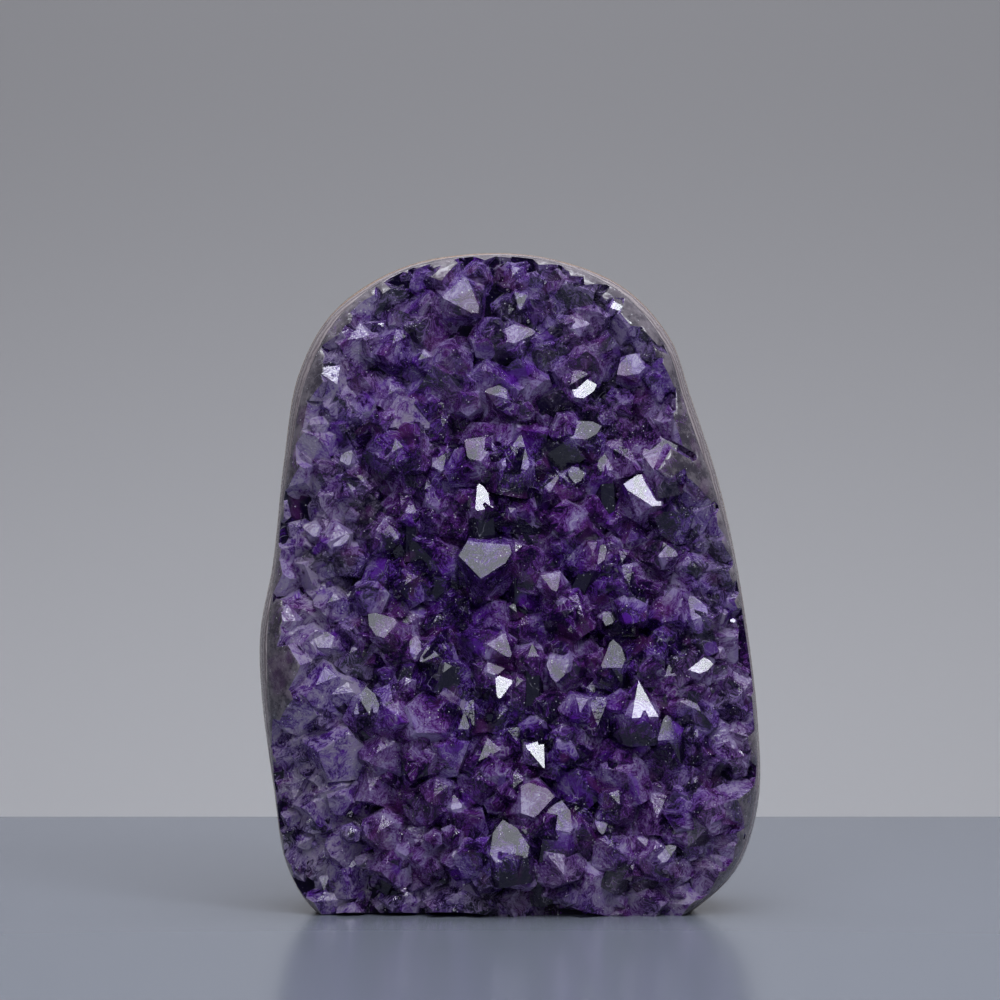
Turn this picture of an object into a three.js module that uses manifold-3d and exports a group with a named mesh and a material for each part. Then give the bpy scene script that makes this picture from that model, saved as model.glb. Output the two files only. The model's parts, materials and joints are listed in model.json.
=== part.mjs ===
// A cut-base amethyst cluster: a polished pebble of geode wall that stands on a sawn base. The rock at the
// back and round the rim is one piece. The crust of crystals that fills the front is the other.
// Millimetres, +Z up, the crystals look towards -Y, and the base lies on z = 0.

import * as THREE from 'three';
import { ConvexGeometry } from 'three/addons/geometries/ConvexGeometry.js';
import { mergeVertices } from 'three/addons/utils/BufferGeometryUtils.js';
import Module from 'manifold-3d';

const wasm = await Module();
wasm.setup();

// Outline of the pebble seen from the front, as [x, z] from the lower right, anticlockwise. The last points
// and the first lie under the saw cut.
const OUTLINE = [
  [20, -8], [33, 0], [41.5, 8], [45.4, 20], [45.4, 34], [42.5, 58], [38.6, 77], [33.2, 94],
  [29.5, 104.5], [21, 113.8], [8, 119], [-6, 120], [-20, 117.3], [-32, 109.5], [-38.5, 98], [-41.2, 82],
  [-43.2, 63], [-45.4, 51], [-45.2, 40], [-42.8, 22], [-40.4, 8.5], [-35, 0], [-20, -8], [0, -11],
];
const HEIGHT = 120;
const HEART = [0, 52];
const OUTLINE_STEPS = 36;

// The pebble from front to back, before it leans
const FRONT_DEPTH = 23;
const BACK_DEPTH = 34;
const FRONT_ROUNDNESS = 3.2;
const BACK_ROUNDNESS = 2.6;
const DEPTH_RINGS = 12;
const LEAN_BACK = Math.tan(THREE.MathUtils.degToRad(4));
const THINNER_AT_TOP = 0.24;

// How far the middle of the whole depth lies behind the broadest section, so that it comes to y = 0
const MIDDLE_DEPTH = 8.2;

// The rock's front face under the crystals, at the heart and at the rim
const ROCK_FACE_HEART = -4;
const ROCK_FACE_RIM = -6.5;
const FACE_RINGS = [0.72, 0.9, 1.0, 1.12];
const GAP = 0.3;

// Where the agate band is broader, as [degrees round the face, half-width in degrees, millimetres forward],
// and how steeply it comes forward towards the rim
const BROAD_BANDS = [[186, 20, 9], [132, 20, 8.5], [48, 26, 9], [-38, 16, 5], [0, 20, 2]];
const BAND_STEEPNESS = 12;

// The depth from which the height of the crystals' tips is counted, at the heart and at the rim
const FOOT_HEART = -10.5;
const FOOT_RIM = -7.8;

// The solid quartz between the crystals: the depth of its front at the heart and at the rim, and its rings
const CRUST_HEART = -8.8;
const CRUST_RIM = -7.2;
const CRUST_RINGS = [0.72, 0.9, 1.12];

// From which share of the way to the rim the crystals are lower, over what share, and by how much at last
const LOWER_FROM = 0.78;
const LOWER_OVER = 0.2;
const LOWER_BY = 0.45;

// The ground back: low swells, and the open gas pockets of the lava, as [x, z, radius]
const SWELL = 0.55;
const DEEP_BACK = 2 * BACK_DEPTH;
const POCKETS = [
  [-14, 92, 2.6], [12, 97, 2.2], [20, 78, 3.2], [-22, 66, 2.4], [3, 58, 2.8], [26, 46, 2.2], [-17, 38, 3],
  [15, 27, 2.6], [-29, 20, 2.1], [1, 14, 2],
];
const POCKET_DEPTH = 0.45;

// The broken lower edge at the front left, which stands clear of what the cluster rests on: its ends, its
// height and depth at the front, where it runs out at the back, and how it tapers there
const CHIP = { from: -34, to: -4, height: 3, front: -26, foot: -6, below: -5 };
const CHIP_FOOT = [[CHIP.from, -2], [CHIP.from + 6, 0], [CHIP.to - 6, 0], [CHIP.to, -4]];
const CHIP_FLARE = 4;

// The eye of someone who looks at the crystals: places on the face are given as they are seen from here
const EYE = new THREE.Vector3(-1.6, -760, 85);

// Quartz: the angle between a pyramid face's normal and the long axis, the length left below a tip, and the
// size from which a crystal shows its three narrow pyramid faces as well
const FACE_TILT = THREE.MathUtils.degToRad(51.8);
const STEM_LENGTH = 11;
const NARROW_FACES_FROM = 6.1;

// How uneven crystals are: the reach of a prism face and of a narrow pyramid face, as shares of the size
const PRISM_REACH = [0.86, 1.14];
const NARROW_REACH = [0.15, 0.42];

// The ways a flat face looks: towards the small bright light, towards the broad light above, and forward,
// where it stays dull
const TO_SPARK = new THREE.Vector3(0.25, -0.89, 0.38).normalize();
const TO_LIGHT = new THREE.Vector3(0.05, -0.86, 0.5).normalize();
const TO_SIDE = new THREE.Vector3(-0.1, -0.95, 0.18).normalize();

// How a flat face sits on its crystal: the tip's distance and the prism's size as shares of the face's size,
// and how high a face of a given size may rise
const FACE_TO_TIP = 0.85;
const FACE_TO_PRISM = 1.1;
const FACE_RISE = [2.6, 1.05];
const FACE_SWAY = 0.12;

// Crystals that show one flat face, as [x, z, size, degrees from the face's middle towards the tip, rise].
// These catch the small bright light.
const SPARK_FACES = [
  [-4.9, 75.7, 2.6, 100, 8], [24.4, 76.8, 4, 170, 8], [22.7, 54, 3.3, -120, 8], [24.4, 38.5, 3.6, 92, 8],
  [35.5, 44.5, 2.6, 5, 6], [-1.3, 40.1, 2.6, -110, 8], [5.7, 27.3, 2.6, -75, 8], [38.1, 18.7, 2.9, 45, 6],
];

// The same for faces that look up towards the broad light
const LIGHT_FACES = [
  [2.6, 105.5, 2.7, 10, 7], [21.8, 98.9, 2.6, -145, 7], [-6, 84.5, 3.1, 140, 8], [1.8, 84.1, 3.7, 80, 8],
  [14.5, 87.8, 3.1, 20, 7], [-4.6, 63.8, 4.8, -95, 9], [27.8, 83.9, 4, 100, 7], [-24.2, 52.4, 2.6, 140, 7],
  [-1.1, 47.6, 2.9, -60, 8], [34.4, 55.3, 2.6, 110, 6], [-0.4, 12.5, 4, 100, 8], [9.2, 16.7, 3.3, 80, 8],
];

// The same for faces that look forward
const DULL_FACES = [
  [-8.1, 111.8, 4.4, -50, 7], [-19.2, 86.5, 4.4, 45, 9], [9.7, 71.6, 3.6, 170, 6],
  [24.4, 87, 3.5, 75, 7], [19.2, 46.3, 3.1, 90, 7], [26.7, 48.2, 2.6, 95, 6],
  [8.8, 43.4, 2.7, -90, 7], [-13.2, 35.4, 4.8, 20, 9], [-17, 25.8, 3.6, -110, 8],
  [-26.2, 37.6, 3.1, 95, 7], [-3.1, 25.8, 2.6, 95, 7], [10.4, 27.1, 2.6, -90, 7],
  [29.3, 32.8, 2.6, 95, 6], [5.3, 20, 3.6, 0, 8], [30.6, 16.9, 2.9, 170, 6],
];

// Crystals that look straight out and show their points, as [x, z, size, rise]
const POINTS = [
  [6.2, 102.2, 3.1, 6], [14.3, 102.2, 4.9, 7], [-10.4, 102.2, 4, 7], [-23.5, 88.5, 5, 8],
  [-35, 81.2, 4, 6], [-19.6, 79.9, 3.5, 6], [-35, 75.3, 4.4, 6], [-31.3, 64.1, 3.3, 6],
  [-37.7, 62.8, 3.7, 5], [20.3, 59.2, 6.2, 8], [-27.5, 57.2, 3.8, 7], [-20, 57.7, 3.3, 7],
  [-29.3, 50.6, 4, 7], [-34.8, 54.6, 3.1, 6], [10.6, 52.6, 4.9, 8], [-14, 39.5, 5, 8],
  [-35, 33.2, 4.6, 6], [-36.1, 22.7, 4.5, 6], [-25.8, 26.4, 4.4, 7], [-25.3, 11.9, 3.7, 7],
  [-14.5, 18.9, 3.3, 7], [36.4, 27.7, 4.4, 6], [21.3, 16.1, 3.5, 7], [10.6, 4.2, 4.4, 8],
  [35, 49, 4.6, 6], [35.2, 39, 4, 6], [13, 34.4, 3, 7], [-23.6, 6, 4.4, 6],
  [-32, 8.5, 3.4, 5], [23, 5.5, 4.2, 7], [31, 5, 3.8, 6], [-37, 43.5, 3.2, 5],
  [16, 72.5, 3.4, 6], [31, 72.5, 3.6, 6], [-3.3, 3.5, 3, 7],
];
const POINT_SWAY = 0.18;

// A point leans outwards by its distance from the heart over these, across and upwards
const LEAN_ACROSS = 110;
const LEAN_UPWARDS = 150;

// Large milky crystals, most of them ground smooth at the rim, as [x, z, size, rise, lean to the right]
const MILKY = [
  [-37.6, 38.5, 5.6, 9.5, -0.42], [-35.2, 28.2, 5.8, 9, -0.36], [-38.6, 47.8, 3.6, 6.5, -0.4],
  [-37.4, 17.6, 4.4, 6.5, -0.4], [-20.9, 88.2, 5.6, 7.6, -0.1], [-33.4, 91.5, 4.2, 5.5, -0.4],
  [-31.2, 103.2, 3.8, 5, -0.5], [39.9, 53.5, 3.2, 5, 0.45], [-12.6, 38.2, 5, 7.6, -0.05],
];
const MILKY_SWAY = 0.15;

// The smaller crystals between them: the step of their grid, its columns to each side, and how far they
// stray from it
const FILL_STEP = 10.2;
const FILL_COLUMNS = 8;
const FILL_STRAY = 1.4;
const FILL_SIZE = [4.6, 6];
const FILL_RISE = [3.6, 6];
const FILL_CLEARANCE = 0.6;
const FILL_LEAN = 0.42;
const FILL_OUT_TO = 0.99;

// The search for how far out a point of the face is: the farthest it may be, and the number of halvings
const FARTHEST_SCALE = 1.2;
const HALVINGS = 24;

// The same random sequence on every run
let state = 20260;
function random(low = 0, high = 1) {
  state = (state * 16807) % 2147483647;
  return low + ((high - low) * state) / 2147483647;
}

// The closed outline, as points spaced evenly round the pebble
const outlineCurve = new THREE.CatmullRomCurve3(
  OUTLINE.map(([x, z]) => new THREE.Vector3(x, 0, z)), true, 'centripetal');
const outline = outlineCurve.getSpacedPoints(OUTLINE_STEPS).slice(0, OUTLINE_STEPS);

// The pebble is thinner at its top and leans back, and so is everything that follows its form
function lean(x, y, z) {
  return [x, y * (1 - (THINNER_AT_TOP * z) / HEIGHT) + z * LEAN_BACK - MIDDLE_DEPTH, z];
}

function toSolid(positions, triangles) {
  return new wasm.Manifold(new wasm.Mesh({
    numProp: 3, vertProperties: new Float32Array(positions), triVerts: new Uint32Array(triangles),
  }));
}

function geometryToSolid(geometry) {
  const bare = geometry.clone();
  bare.deleteAttribute('normal');
  bare.deleteAttribute('uv');
  const merged = mergeVertices(bare, 1e-4);
  return toSolid(merged.attributes.position.array, merged.index.array);
}

// A closed body of rings of the outline: each ring has a scale and a function that gives its depth y for an
// angle round the face. The first ring is closed towards the front and the last towards the back.
function ringBody(rings, frontY, backY) {
  const positions = [...lean(HEART[0], frontY, HEART[1])];
  for (const { scale, depthAt } of rings) {
    for (const point of outline) {
      const dx = point.x - HEART[0];
      const dz = point.z - HEART[1];
      const y = depthAt(Math.atan2(dz, dx));
      positions.push(...lean(HEART[0] + dx * scale, y, HEART[1] + dz * scale));
    }
  }
  positions.push(...lean(HEART[0], backY, HEART[1]));
  const last = positions.length / 3 - 1;
  const count = outline.length;
  const triangles = [];
  for (let i = 0; i < count; i += 1) {
    const j = (i + 1) % count;
    triangles.push(0, 1 + i, 1 + j);
    for (let ring = 0; ring < rings.length - 1; ring += 1) {
      const near = 1 + ring * count;
      const far = near + count;
      triangles.push(near + i, far + i, far + j, near + i, far + j, near + j);
    }
    const back = 1 + (rings.length - 1) * count;
    triangles.push(last, back + j, back + i);
  }
  return toSolid(positions, triangles);
}

// The polished pebble, superelliptic from front to back, with low swells on its ground back
function pebble() {
  const rings = [];
  for (let i = 1; i < DEPTH_RINGS; i += 1) {
    const turn = -Math.PI / 2 + (Math.PI * i) / DEPTH_RINGS;
    const power = 2 / (turn < 0 ? FRONT_ROUNDNESS : BACK_ROUNDNESS);
    const scale = Math.cos(turn) ** power;
    const reach = Math.abs(Math.sin(turn)) ** power;
    const front = () => -FRONT_DEPTH * reach;
    const back = (angle) => BACK_DEPTH * reach + backSwell(scale, angle);
    rings.push({ scale, depthAt: turn < 0 ? front : back });
  }
  return ringBody(rings, -FRONT_DEPTH, BACK_DEPTH);
}

// Low lobes round the back, which fade out at the pole and at the rim
function backSwell(scale, angle) {
  const fading = 4 * scale * (1 - scale);
  return SWELL * fading * (Math.sin(3 * angle + 1) + Math.sin(5 * angle + 4 * scale));
}

// How far forward the agate band comes at an angle round the face
function bandForward(angle) {
  let forward = 0;
  for (const [at, halfWidth, height] of BROAD_BANDS) {
    const away = THREE.MathUtils.euclideanModulo(THREE.MathUtils.radToDeg(angle) - at + 180, 360) - 180;
    forward += height * Math.exp(-((away / halfWidth) ** 2));
  }
  return forward;
}

// Everything behind the rock's front face, moved forward by a gap
function behindRockFace(gap) {
  const rings = FACE_RINGS.map((scale) => ({
    scale,
    depthAt: (angle) => layerDepth(ROCK_FACE_HEART, ROCK_FACE_RIM, scale, angle) - gap,
  }));
  rings.push({ scale: FACE_RINGS.at(-1), depthAt: () => DEEP_BACK });
  return ringBody(rings, ROCK_FACE_HEART - gap, DEEP_BACK);
}

// How far forward the layers lie at a place, which grows steeply towards the rim
function bandAt(scale, angle) {
  return bandForward(angle) * Math.min(scale, 1) ** BAND_STEEPNESS;
}

// The depth of a layer that lies at one depth at the heart and at another at the rim
function layerDepth(heart, rim, scale, angle) {
  return THREE.MathUtils.lerp(heart, rim, Math.min(scale, 1) ** 4) - bandAt(scale, angle);
}

// The solid quartz between the crystals
function crust() {
  const rings = CRUST_RINGS.map((scale) => ({
    scale, depthAt: (angle) => layerDepth(CRUST_HEART, CRUST_RIM, scale, angle),
  }));
  rings.push({ scale: CRUST_RINGS.at(-1), depthAt: () => 0 });
  return ringBody(rings, CRUST_HEART, 0);
}

// Where the face's point seen at [x, z] is, when it rises a given height over the crystals' feet
function onFace(seenX, seenZ, rise) {
  const scale = scaleAt(seenX, seenZ);
  const lower = LOWER_BY * THREE.MathUtils.clamp((scale - LOWER_FROM) / LOWER_OVER, 0, 1);
  const angle = Math.atan2(seenZ - HEART[1], seenX - HEART[0]);
  const foot = layerDepth(FOOT_HEART, FOOT_RIM, scale, angle);
  const y = lean(seenX, foot - rise * (1 - lower), seenZ)[1];
  const along = (y - EYE.y) / -EYE.y;
  return new THREE.Vector3(EYE.x + (seenX - EYE.x) * along, y, EYE.z + (seenZ - EYE.z) * along);
}

// The planes of one crystal whose tip is at the origin and whose axis is +Z: six prism faces, three broad
// pyramid faces and, on some, three narrow ones, the first broad face towards +X
function crystalPlanes(size) {
  const planes = [{ normal: new THREE.Vector3(0, 0, -1), reach: STEM_LENGTH }];
  for (let side = 0; side < 6; side += 1) {
    const turn = (side * Math.PI) / 3;
    const out = new THREE.Vector3(Math.cos(turn), Math.sin(turn), 0);
    planes.push({ normal: out, reach: size * random(...PRISM_REACH) });
    const normal = out.clone().multiplyScalar(Math.sin(FACE_TILT)).setZ(Math.cos(FACE_TILT));
    const narrow = side % 2 === 1;
    if (narrow && size < NARROW_FACES_FROM) continue;
    planes.push({ normal, reach: narrow ? size * random(...NARROW_REACH) : 0 });
  }
  return planes;
}

// The corners of a convex body given by planes
function corners(planes) {
  const found = new Map();
  for (let a = 0; a < planes.length; a += 1) {
    for (let b = a + 1; b < planes.length; b += 1) {
      for (let c = b + 1; c < planes.length; c += 1) {
        const point = meet(planes[a], planes[b], planes[c]);
        if (point && planes.every(({ normal, reach }) => normal.dot(point) <= reach + 1e-6)) {
          found.set(point.toArray().map((value) => value.toFixed(3)).join(), point);
        }
      }
    }
  }
  return [...found.values()];
}

function meet(a, b, c) {
  const rows = new THREE.Matrix3().set(...a.normal, ...b.normal, ...c.normal);
  if (Math.abs(rows.determinant()) < 1e-6) return null;
  return new THREE.Vector3(a.reach, b.reach, c.reach).applyMatrix3(rows.invert());
}

// One crystal, with its tip at a point, its axis along one direction and a broad face towards another
function crystal(tip, axis, faceTowards, size) {
  const z = axis.clone().normalize();
  const x = faceTowards.clone().addScaledVector(z, -faceTowards.dot(z)).normalize();
  const place = new THREE.Matrix4().makeBasis(x, z.clone().cross(x), z).setPosition(tip);
  const geometry = new ConvexGeometry(corners(crystalPlanes(size)));
  return geometryToSolid(geometry.applyMatrix4(place));
}

// A crystal that shows one broad face: the face looks along a direction, and the tip lies at an angle on the
// clock from the face's middle
function faceCrystal([x, z, size, clock, rise], looks) {
  const middle = onFace(x, z, Math.min(rise, FACE_RISE[0] + FACE_RISE[1] * size));
  const turn = THREE.MathUtils.degToRad(clock);
  const sway = new THREE.Vector3(random(-FACE_SWAY, FACE_SWAY), 0, random(-FACE_SWAY, FACE_SWAY));
  const normal = looks.clone().add(sway).normalize();
  const towardsTip = new THREE.Vector3(Math.cos(turn), 0, Math.sin(turn));
  towardsTip.addScaledVector(normal, -towardsTip.dot(normal)).normalize();
  const axis = normal.clone().multiplyScalar(Math.cos(FACE_TILT));
  axis.addScaledVector(towardsTip, Math.sin(FACE_TILT));
  const tip = middle.addScaledVector(towardsTip, size * FACE_TO_TIP);
  return crystal(tip, axis, normal, size * FACE_TO_PRISM);
}

// A crystal that looks outwards, leaning away from the middle of the face and a little at random
function pointCrystal([x, z, size, rise], sway) {
  const tip = onFace(x, z, rise);
  const across = (x - HEART[0]) / LEAN_ACROSS + random(-sway, sway);
  const upwards = (z - HEART[1]) / LEAN_UPWARDS + random(-sway, sway);
  return crystal(tip, new THREE.Vector3(across, -1, upwards), anyWay(), size);
}

function anyWay() {
  const spin = random(0, 2 * Math.PI);
  return new THREE.Vector3(Math.cos(spin), 0, Math.sin(spin));
}

// A large milky crystal, which leans a given way
function milkyCrystal([x, z, size, rise, leanX]) {
  const axis = new THREE.Vector3(leanX, -1, random(-MILKY_SWAY, MILKY_SWAY));
  return crystal(onFace(x, z, rise), axis, anyWay(), size);
}

// The smaller crystals, on a loose triangular grid where no placed crystal stands
function fillCrystals(placed) {
  const solids = [];
  const rowStep = FILL_STEP * Math.sin(Math.PI / 3);
  for (let row = 0; row * rowStep < HEIGHT + 2; row += 1) {
    for (let column = -FILL_COLUMNS; column <= FILL_COLUMNS; column += 1) {
      const x = (column + (row % 2) / 2) * FILL_STEP + random(-FILL_STRAY, FILL_STRAY);
      const z = row * rowStep + random(-FILL_STRAY, FILL_STRAY);
      const size = random(...FILL_SIZE);
      const rise = random(...FILL_RISE);
      const free = placed.every(([px, pz, other]) => (
        Math.hypot(px - x, pz - z) > FILL_CLEARANCE * (other + size)));
      if (free && scaleAt(x, z) < FILL_OUT_TO) solids.push(pointCrystal([x, z, size, rise], FILL_LEAN));
    }
  }
  return solids;
}

function insideOutline(x, z) {
  let inside = false;
  outline.forEach((a, i) => {
    const b = outline[(i + 1) % outline.length];
    if (a.z > z !== b.z > z && x < ((b.x - a.x) * (z - a.z)) / (b.z - a.z) + a.x) inside = !inside;
  });
  return inside;
}

// The broken lower edge: a wedge that opens towards the front
function chip() {
  const { from, to, height, front, foot, below } = CHIP;
  const points = CHIP_FOOT.flatMap(([x, y]) => (
    [new THREE.Vector3(x, foot + y, 0), new THREE.Vector3(x, foot + y, below)]));
  for (const x of [from - CHIP_FLARE, to]) {
    points.push(new THREE.Vector3(x, front, height), new THREE.Vector3(x, front, below));
  }
  return geometryToSolid(new ConvexGeometry(points)).translate([0, -MIDDLE_DEPTH, 0]);
}

// Everything under the saw cut
function underBase() {
  const side = 2 * HEIGHT;
  return geometryToSolid(new THREE.BoxGeometry(side, side, side).translate(0, 0, -side / 2));
}

// The open gas pockets of the lava, each a shallow dish in the ground back
function pockets(body) {
  let cut = body;
  for (const [x, z, radius] of POCKETS) {
    const scale = scaleAt(x, z);
    const depth = BACK_DEPTH * (1 - scale ** BACK_ROUNDNESS) ** (1 / BACK_ROUNDNESS);
    const [, y] = lean(x, depth, z);
    const dish = new THREE.IcosahedronGeometry(radius, 1).translate(x, y + radius * POCKET_DEPTH, z);
    cut = cut.subtract(geometryToSolid(dish));
  }
  return cut;
}

// How far out a point of the face is, from 0 at the heart to 1 on the outline
function scaleAt(x, z) {
  let low = 0;
  let high = FARTHEST_SCALE;
  for (let step = 0; step < HALVINGS; step += 1) {
    const scale = (low + high) / 2;
    const [ux, uz] = [HEART[0] + (x - HEART[0]) / scale, HEART[1] + (z - HEART[1]) / scale];
    if (insideOutline(ux, uz)) high = scale;
    else low = scale;
  }
  return high;
}

// The one body that holds the rest, without crumbs or sealed hollows
function largest(solid) {
  return solid.decompose().reduce((best, next) => (next.volume() > best.volume() ? next : best));
}

function toMesh(name, solid, material) {
  const { vertProperties, triVerts, numProp } = solid.getMesh();
  const geometry = new THREE.BufferGeometry();
  const positions = new Float32Array((vertProperties.length / numProp) * 3);
  for (let i = 0; i < positions.length / 3; i += 1) {
    positions.set(vertProperties.subarray(i * numProp, i * numProp + 3), i * 3);
  }
  geometry.setAttribute('position', new THREE.BufferAttribute(positions, 3));
  geometry.setIndex([...triVerts]);
  geometry.computeVertexNormals();
  const mesh = new THREE.Mesh(geometry, material);
  mesh.name = name;
  return mesh;
}

const envelope = pebble().subtract(underBase()).subtract(chip());

const rock = largest(pockets(envelope.intersect(behindRockFace(0))));

const placed = [
  ...SPARK_FACES.map((spec) => faceCrystal(spec, TO_SPARK)),
  ...LIGHT_FACES.map((spec) => faceCrystal(spec, TO_LIGHT)),
  ...DULL_FACES.map((spec) => faceCrystal(spec, TO_SIDE)),
  ...POINTS.map((spec) => pointCrystal(spec, POINT_SWAY)),
  ...MILKY.map((spec) => milkyCrystal(spec)),
];
const fill = fillCrystals([...SPARK_FACES, ...LIGHT_FACES, ...DULL_FACES, ...POINTS, ...MILKY]);
const druse = wasm.Manifold.union([crust(), ...placed, ...fill]);
const crystals = largest(druse.intersect(envelope).subtract(behindRockFace(GAP)));

const basalt = new THREE.MeshStandardMaterial({ color: 0x6f6563, roughness: 0.45 });
const amethyst = new THREE.MeshStandardMaterial({ color: 0x4b2a78, roughness: 0.2 });

const cluster = new THREE.Group();
cluster.add(toMesh('matrix', rock, basalt));
cluster.add(toMesh('amethyst_crystals', crystals, amethyst));

export default cluster;
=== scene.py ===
"""Looks of a cut-base amethyst cluster: its polished rock, its crust of crystals and the studio."""

import itertools
import json
import logging
import math
from dataclasses import dataclass, field
from enum import Enum
from typing import Callable, ClassVar, Sequence

import bmesh
import bpy
import numpy as np
from mathutils import Matrix, Vector, noise

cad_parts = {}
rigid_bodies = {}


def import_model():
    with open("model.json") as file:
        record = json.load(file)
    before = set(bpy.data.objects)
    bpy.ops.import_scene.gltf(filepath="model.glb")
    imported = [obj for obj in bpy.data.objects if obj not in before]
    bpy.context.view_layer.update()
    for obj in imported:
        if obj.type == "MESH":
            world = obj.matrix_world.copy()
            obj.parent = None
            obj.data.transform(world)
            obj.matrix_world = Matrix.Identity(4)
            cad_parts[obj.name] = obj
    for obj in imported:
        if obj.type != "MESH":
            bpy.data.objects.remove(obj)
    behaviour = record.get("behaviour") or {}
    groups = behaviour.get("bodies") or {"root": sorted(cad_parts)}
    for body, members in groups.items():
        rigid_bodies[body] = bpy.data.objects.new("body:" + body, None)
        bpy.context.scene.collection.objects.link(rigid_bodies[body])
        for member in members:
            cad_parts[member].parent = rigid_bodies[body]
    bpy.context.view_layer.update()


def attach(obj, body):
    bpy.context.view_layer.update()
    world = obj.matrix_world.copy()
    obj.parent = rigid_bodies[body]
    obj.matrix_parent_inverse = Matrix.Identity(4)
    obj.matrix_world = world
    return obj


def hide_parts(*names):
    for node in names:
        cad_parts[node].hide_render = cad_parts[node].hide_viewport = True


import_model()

log = logging.getLogger("amethyst")
logging.basicConfig(level=logging.INFO, format="%(name)s: %(message)s")

MM = 0.001

# The angle between a pyramid face's normal and the long axis of a quartz crystal
FACE_TILT = math.radians(51.8)

Point = tuple[float, float]
Place = tuple[float, float, float]
Colour = tuple[float, float, float, float]
Span = tuple[float, float, float, float]
Pattern = tuple[float, ...]


class Draws:
    """A repeatable sequence of random numbers, the same on every run."""

    factor = 16807
    modulus = 2147483647

    def __init__(self, seed: int) -> None:
        """Starts the sequence from any whole number above zero."""
        self.state = seed

    def between(self, low: float, high: float) -> float:
        """Draws the next number, from low to high."""
        self.state = (self.state * self.factor) % self.modulus
        return low + (high - low) * self.state / self.modulus

    def about(self, reach: float) -> float:
        """Draws the next number, from -reach to reach."""
        return self.between(-reach, reach)


class Looks(Enum):
    """The ways a broad crystal face can look, as the direction of its normal."""

    SPARK = (0.25, -0.89, 0.38)
    LIGHT = (0.05, -0.86, 0.5)
    SIDE = (-0.1, -0.95, 0.18)

    def normal(self) -> Vector:
        """Gives the direction as a unit vector."""
        return Vector(self.value).normalized()


def new_mesh(name: str, points: Sequence[Sequence[float]],
             faces: Sequence[Sequence[int]]) -> bpy.types.Mesh:
    """Makes a mesh, in metres, from points in millimetres and the corners of each face."""
    mesh = bpy.data.meshes.new(name)
    mesh.from_pydata([[c * MM for c in p] for p in points], [], faces)
    mesh.update()
    return mesh


def new_object(name: str, mesh: bpy.types.Mesh,
               collection: bpy.types.Collection | None = None) -> bpy.types.Object:
    """Puts a mesh into a collection, or else into the scene's own one."""
    thing = bpy.data.objects.new(name, mesh)
    (collection or bpy.context.scene.collection).objects.link(thing)
    return thing


def mark_faces(mesh: bpy.types.Mesh, name: str, values: Sequence[float] | Sequence[Vector]) -> None:
    """Gives each face of a mesh a number or a vector that its material can read.

    Args:
        mesh: the mesh.
        name: the mark's name.
        values: one number or vector for each face.
    """
    if isinstance(values[0], Vector):
        layer = mesh.attributes.new(name, "FLOAT_VECTOR", "FACE")
        layer.data.foreach_set("vector", [c for value in values for c in value])
    else:
        layer = mesh.attributes.new(name, "FLOAT", "FACE")
        layer.data.foreach_set("value", list(values))


def frozen_copy(thing: bpy.types.Object) -> bpy.types.Mesh:
    """Gives an object's mesh with its modifiers applied, and takes the modifiers off."""
    graph = bpy.context.evaluated_depsgraph_get()
    mesh = bpy.data.meshes.new_from_object(thing.evaluated_get(graph))
    thing.modifiers.clear()
    return mesh


def carve(thing: bpy.types.Object, operation: str, tools: Sequence[bpy.types.Object]) -> None:
    """Joins other solids to a solid, cuts them from it, or keeps what they share.

    Args:
        thing: the solid that is changed.
        operation: UNION, DIFFERENCE or INTERSECT.
        tools: the other solids, which are left as they are.
    """
    for tool in tools:
        modifier = thing.modifiers.new("carve", "BOOLEAN")
        modifier.operation = operation
        modifier.solver = "MANIFOLD"
        modifier.object = tool
    thing.data = frozen_copy(thing)


def grow(thing: bpy.types.Object, tree: bpy.types.NodeTree, wanted: dict[str, float | int]) -> None:
    """Runs a node tree on an object and keeps the mesh that it makes.

    Args:
        thing: the object.
        tree: the tree.
        wanted: a value for each of the tree's inputs, by name.
    """
    modifier = thing.modifiers.new(tree.name, "NODES")
    modifier.node_group = tree
    for socket in tree.interface.items_tree:
        if socket.in_out == "INPUT" and socket.name in wanted:
            modifier[socket.identifier] = wanted[socket.name]
    thing.data = frozen_copy(thing)


def keep_largest(mesh: bpy.types.Mesh) -> None:
    """Deletes every loose crumb of a mesh and leaves its largest body.

    Args:
        mesh: the mesh that is cleaned.
    """
    shape = bmesh.new()
    shape.from_mesh(mesh)
    unseen = set(shape.verts)
    bodies = []
    while unseen:
        stack = [unseen.pop()]
        body = set(stack)
        while stack:
            for edge in stack.pop().link_edges:
                for vertex in edge.verts:
                    if vertex in unseen:
                        unseen.discard(vertex)
                        body.add(vertex)
                        stack.append(vertex)
        bodies.append(body)
    bodies.sort(key=len)
    crumbs = [vertex for body in bodies[:-1] for vertex in body]
    bmesh.ops.delete(shape, geom=crumbs, context="VERTS")
    shape.to_mesh(mesh)
    shape.free()


def finish_solid(thing: bpy.types.Object, finish: bpy.types.Material) -> None:
    """Clears a solid of crumbs, gives it its only material and reports it."""
    keep_largest(thing.data)
    thing.data.materials.clear()
    thing.data.materials.append(finish)
    log.info("%s: %d faces", thing.name, len(thing.data.polygons))


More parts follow.
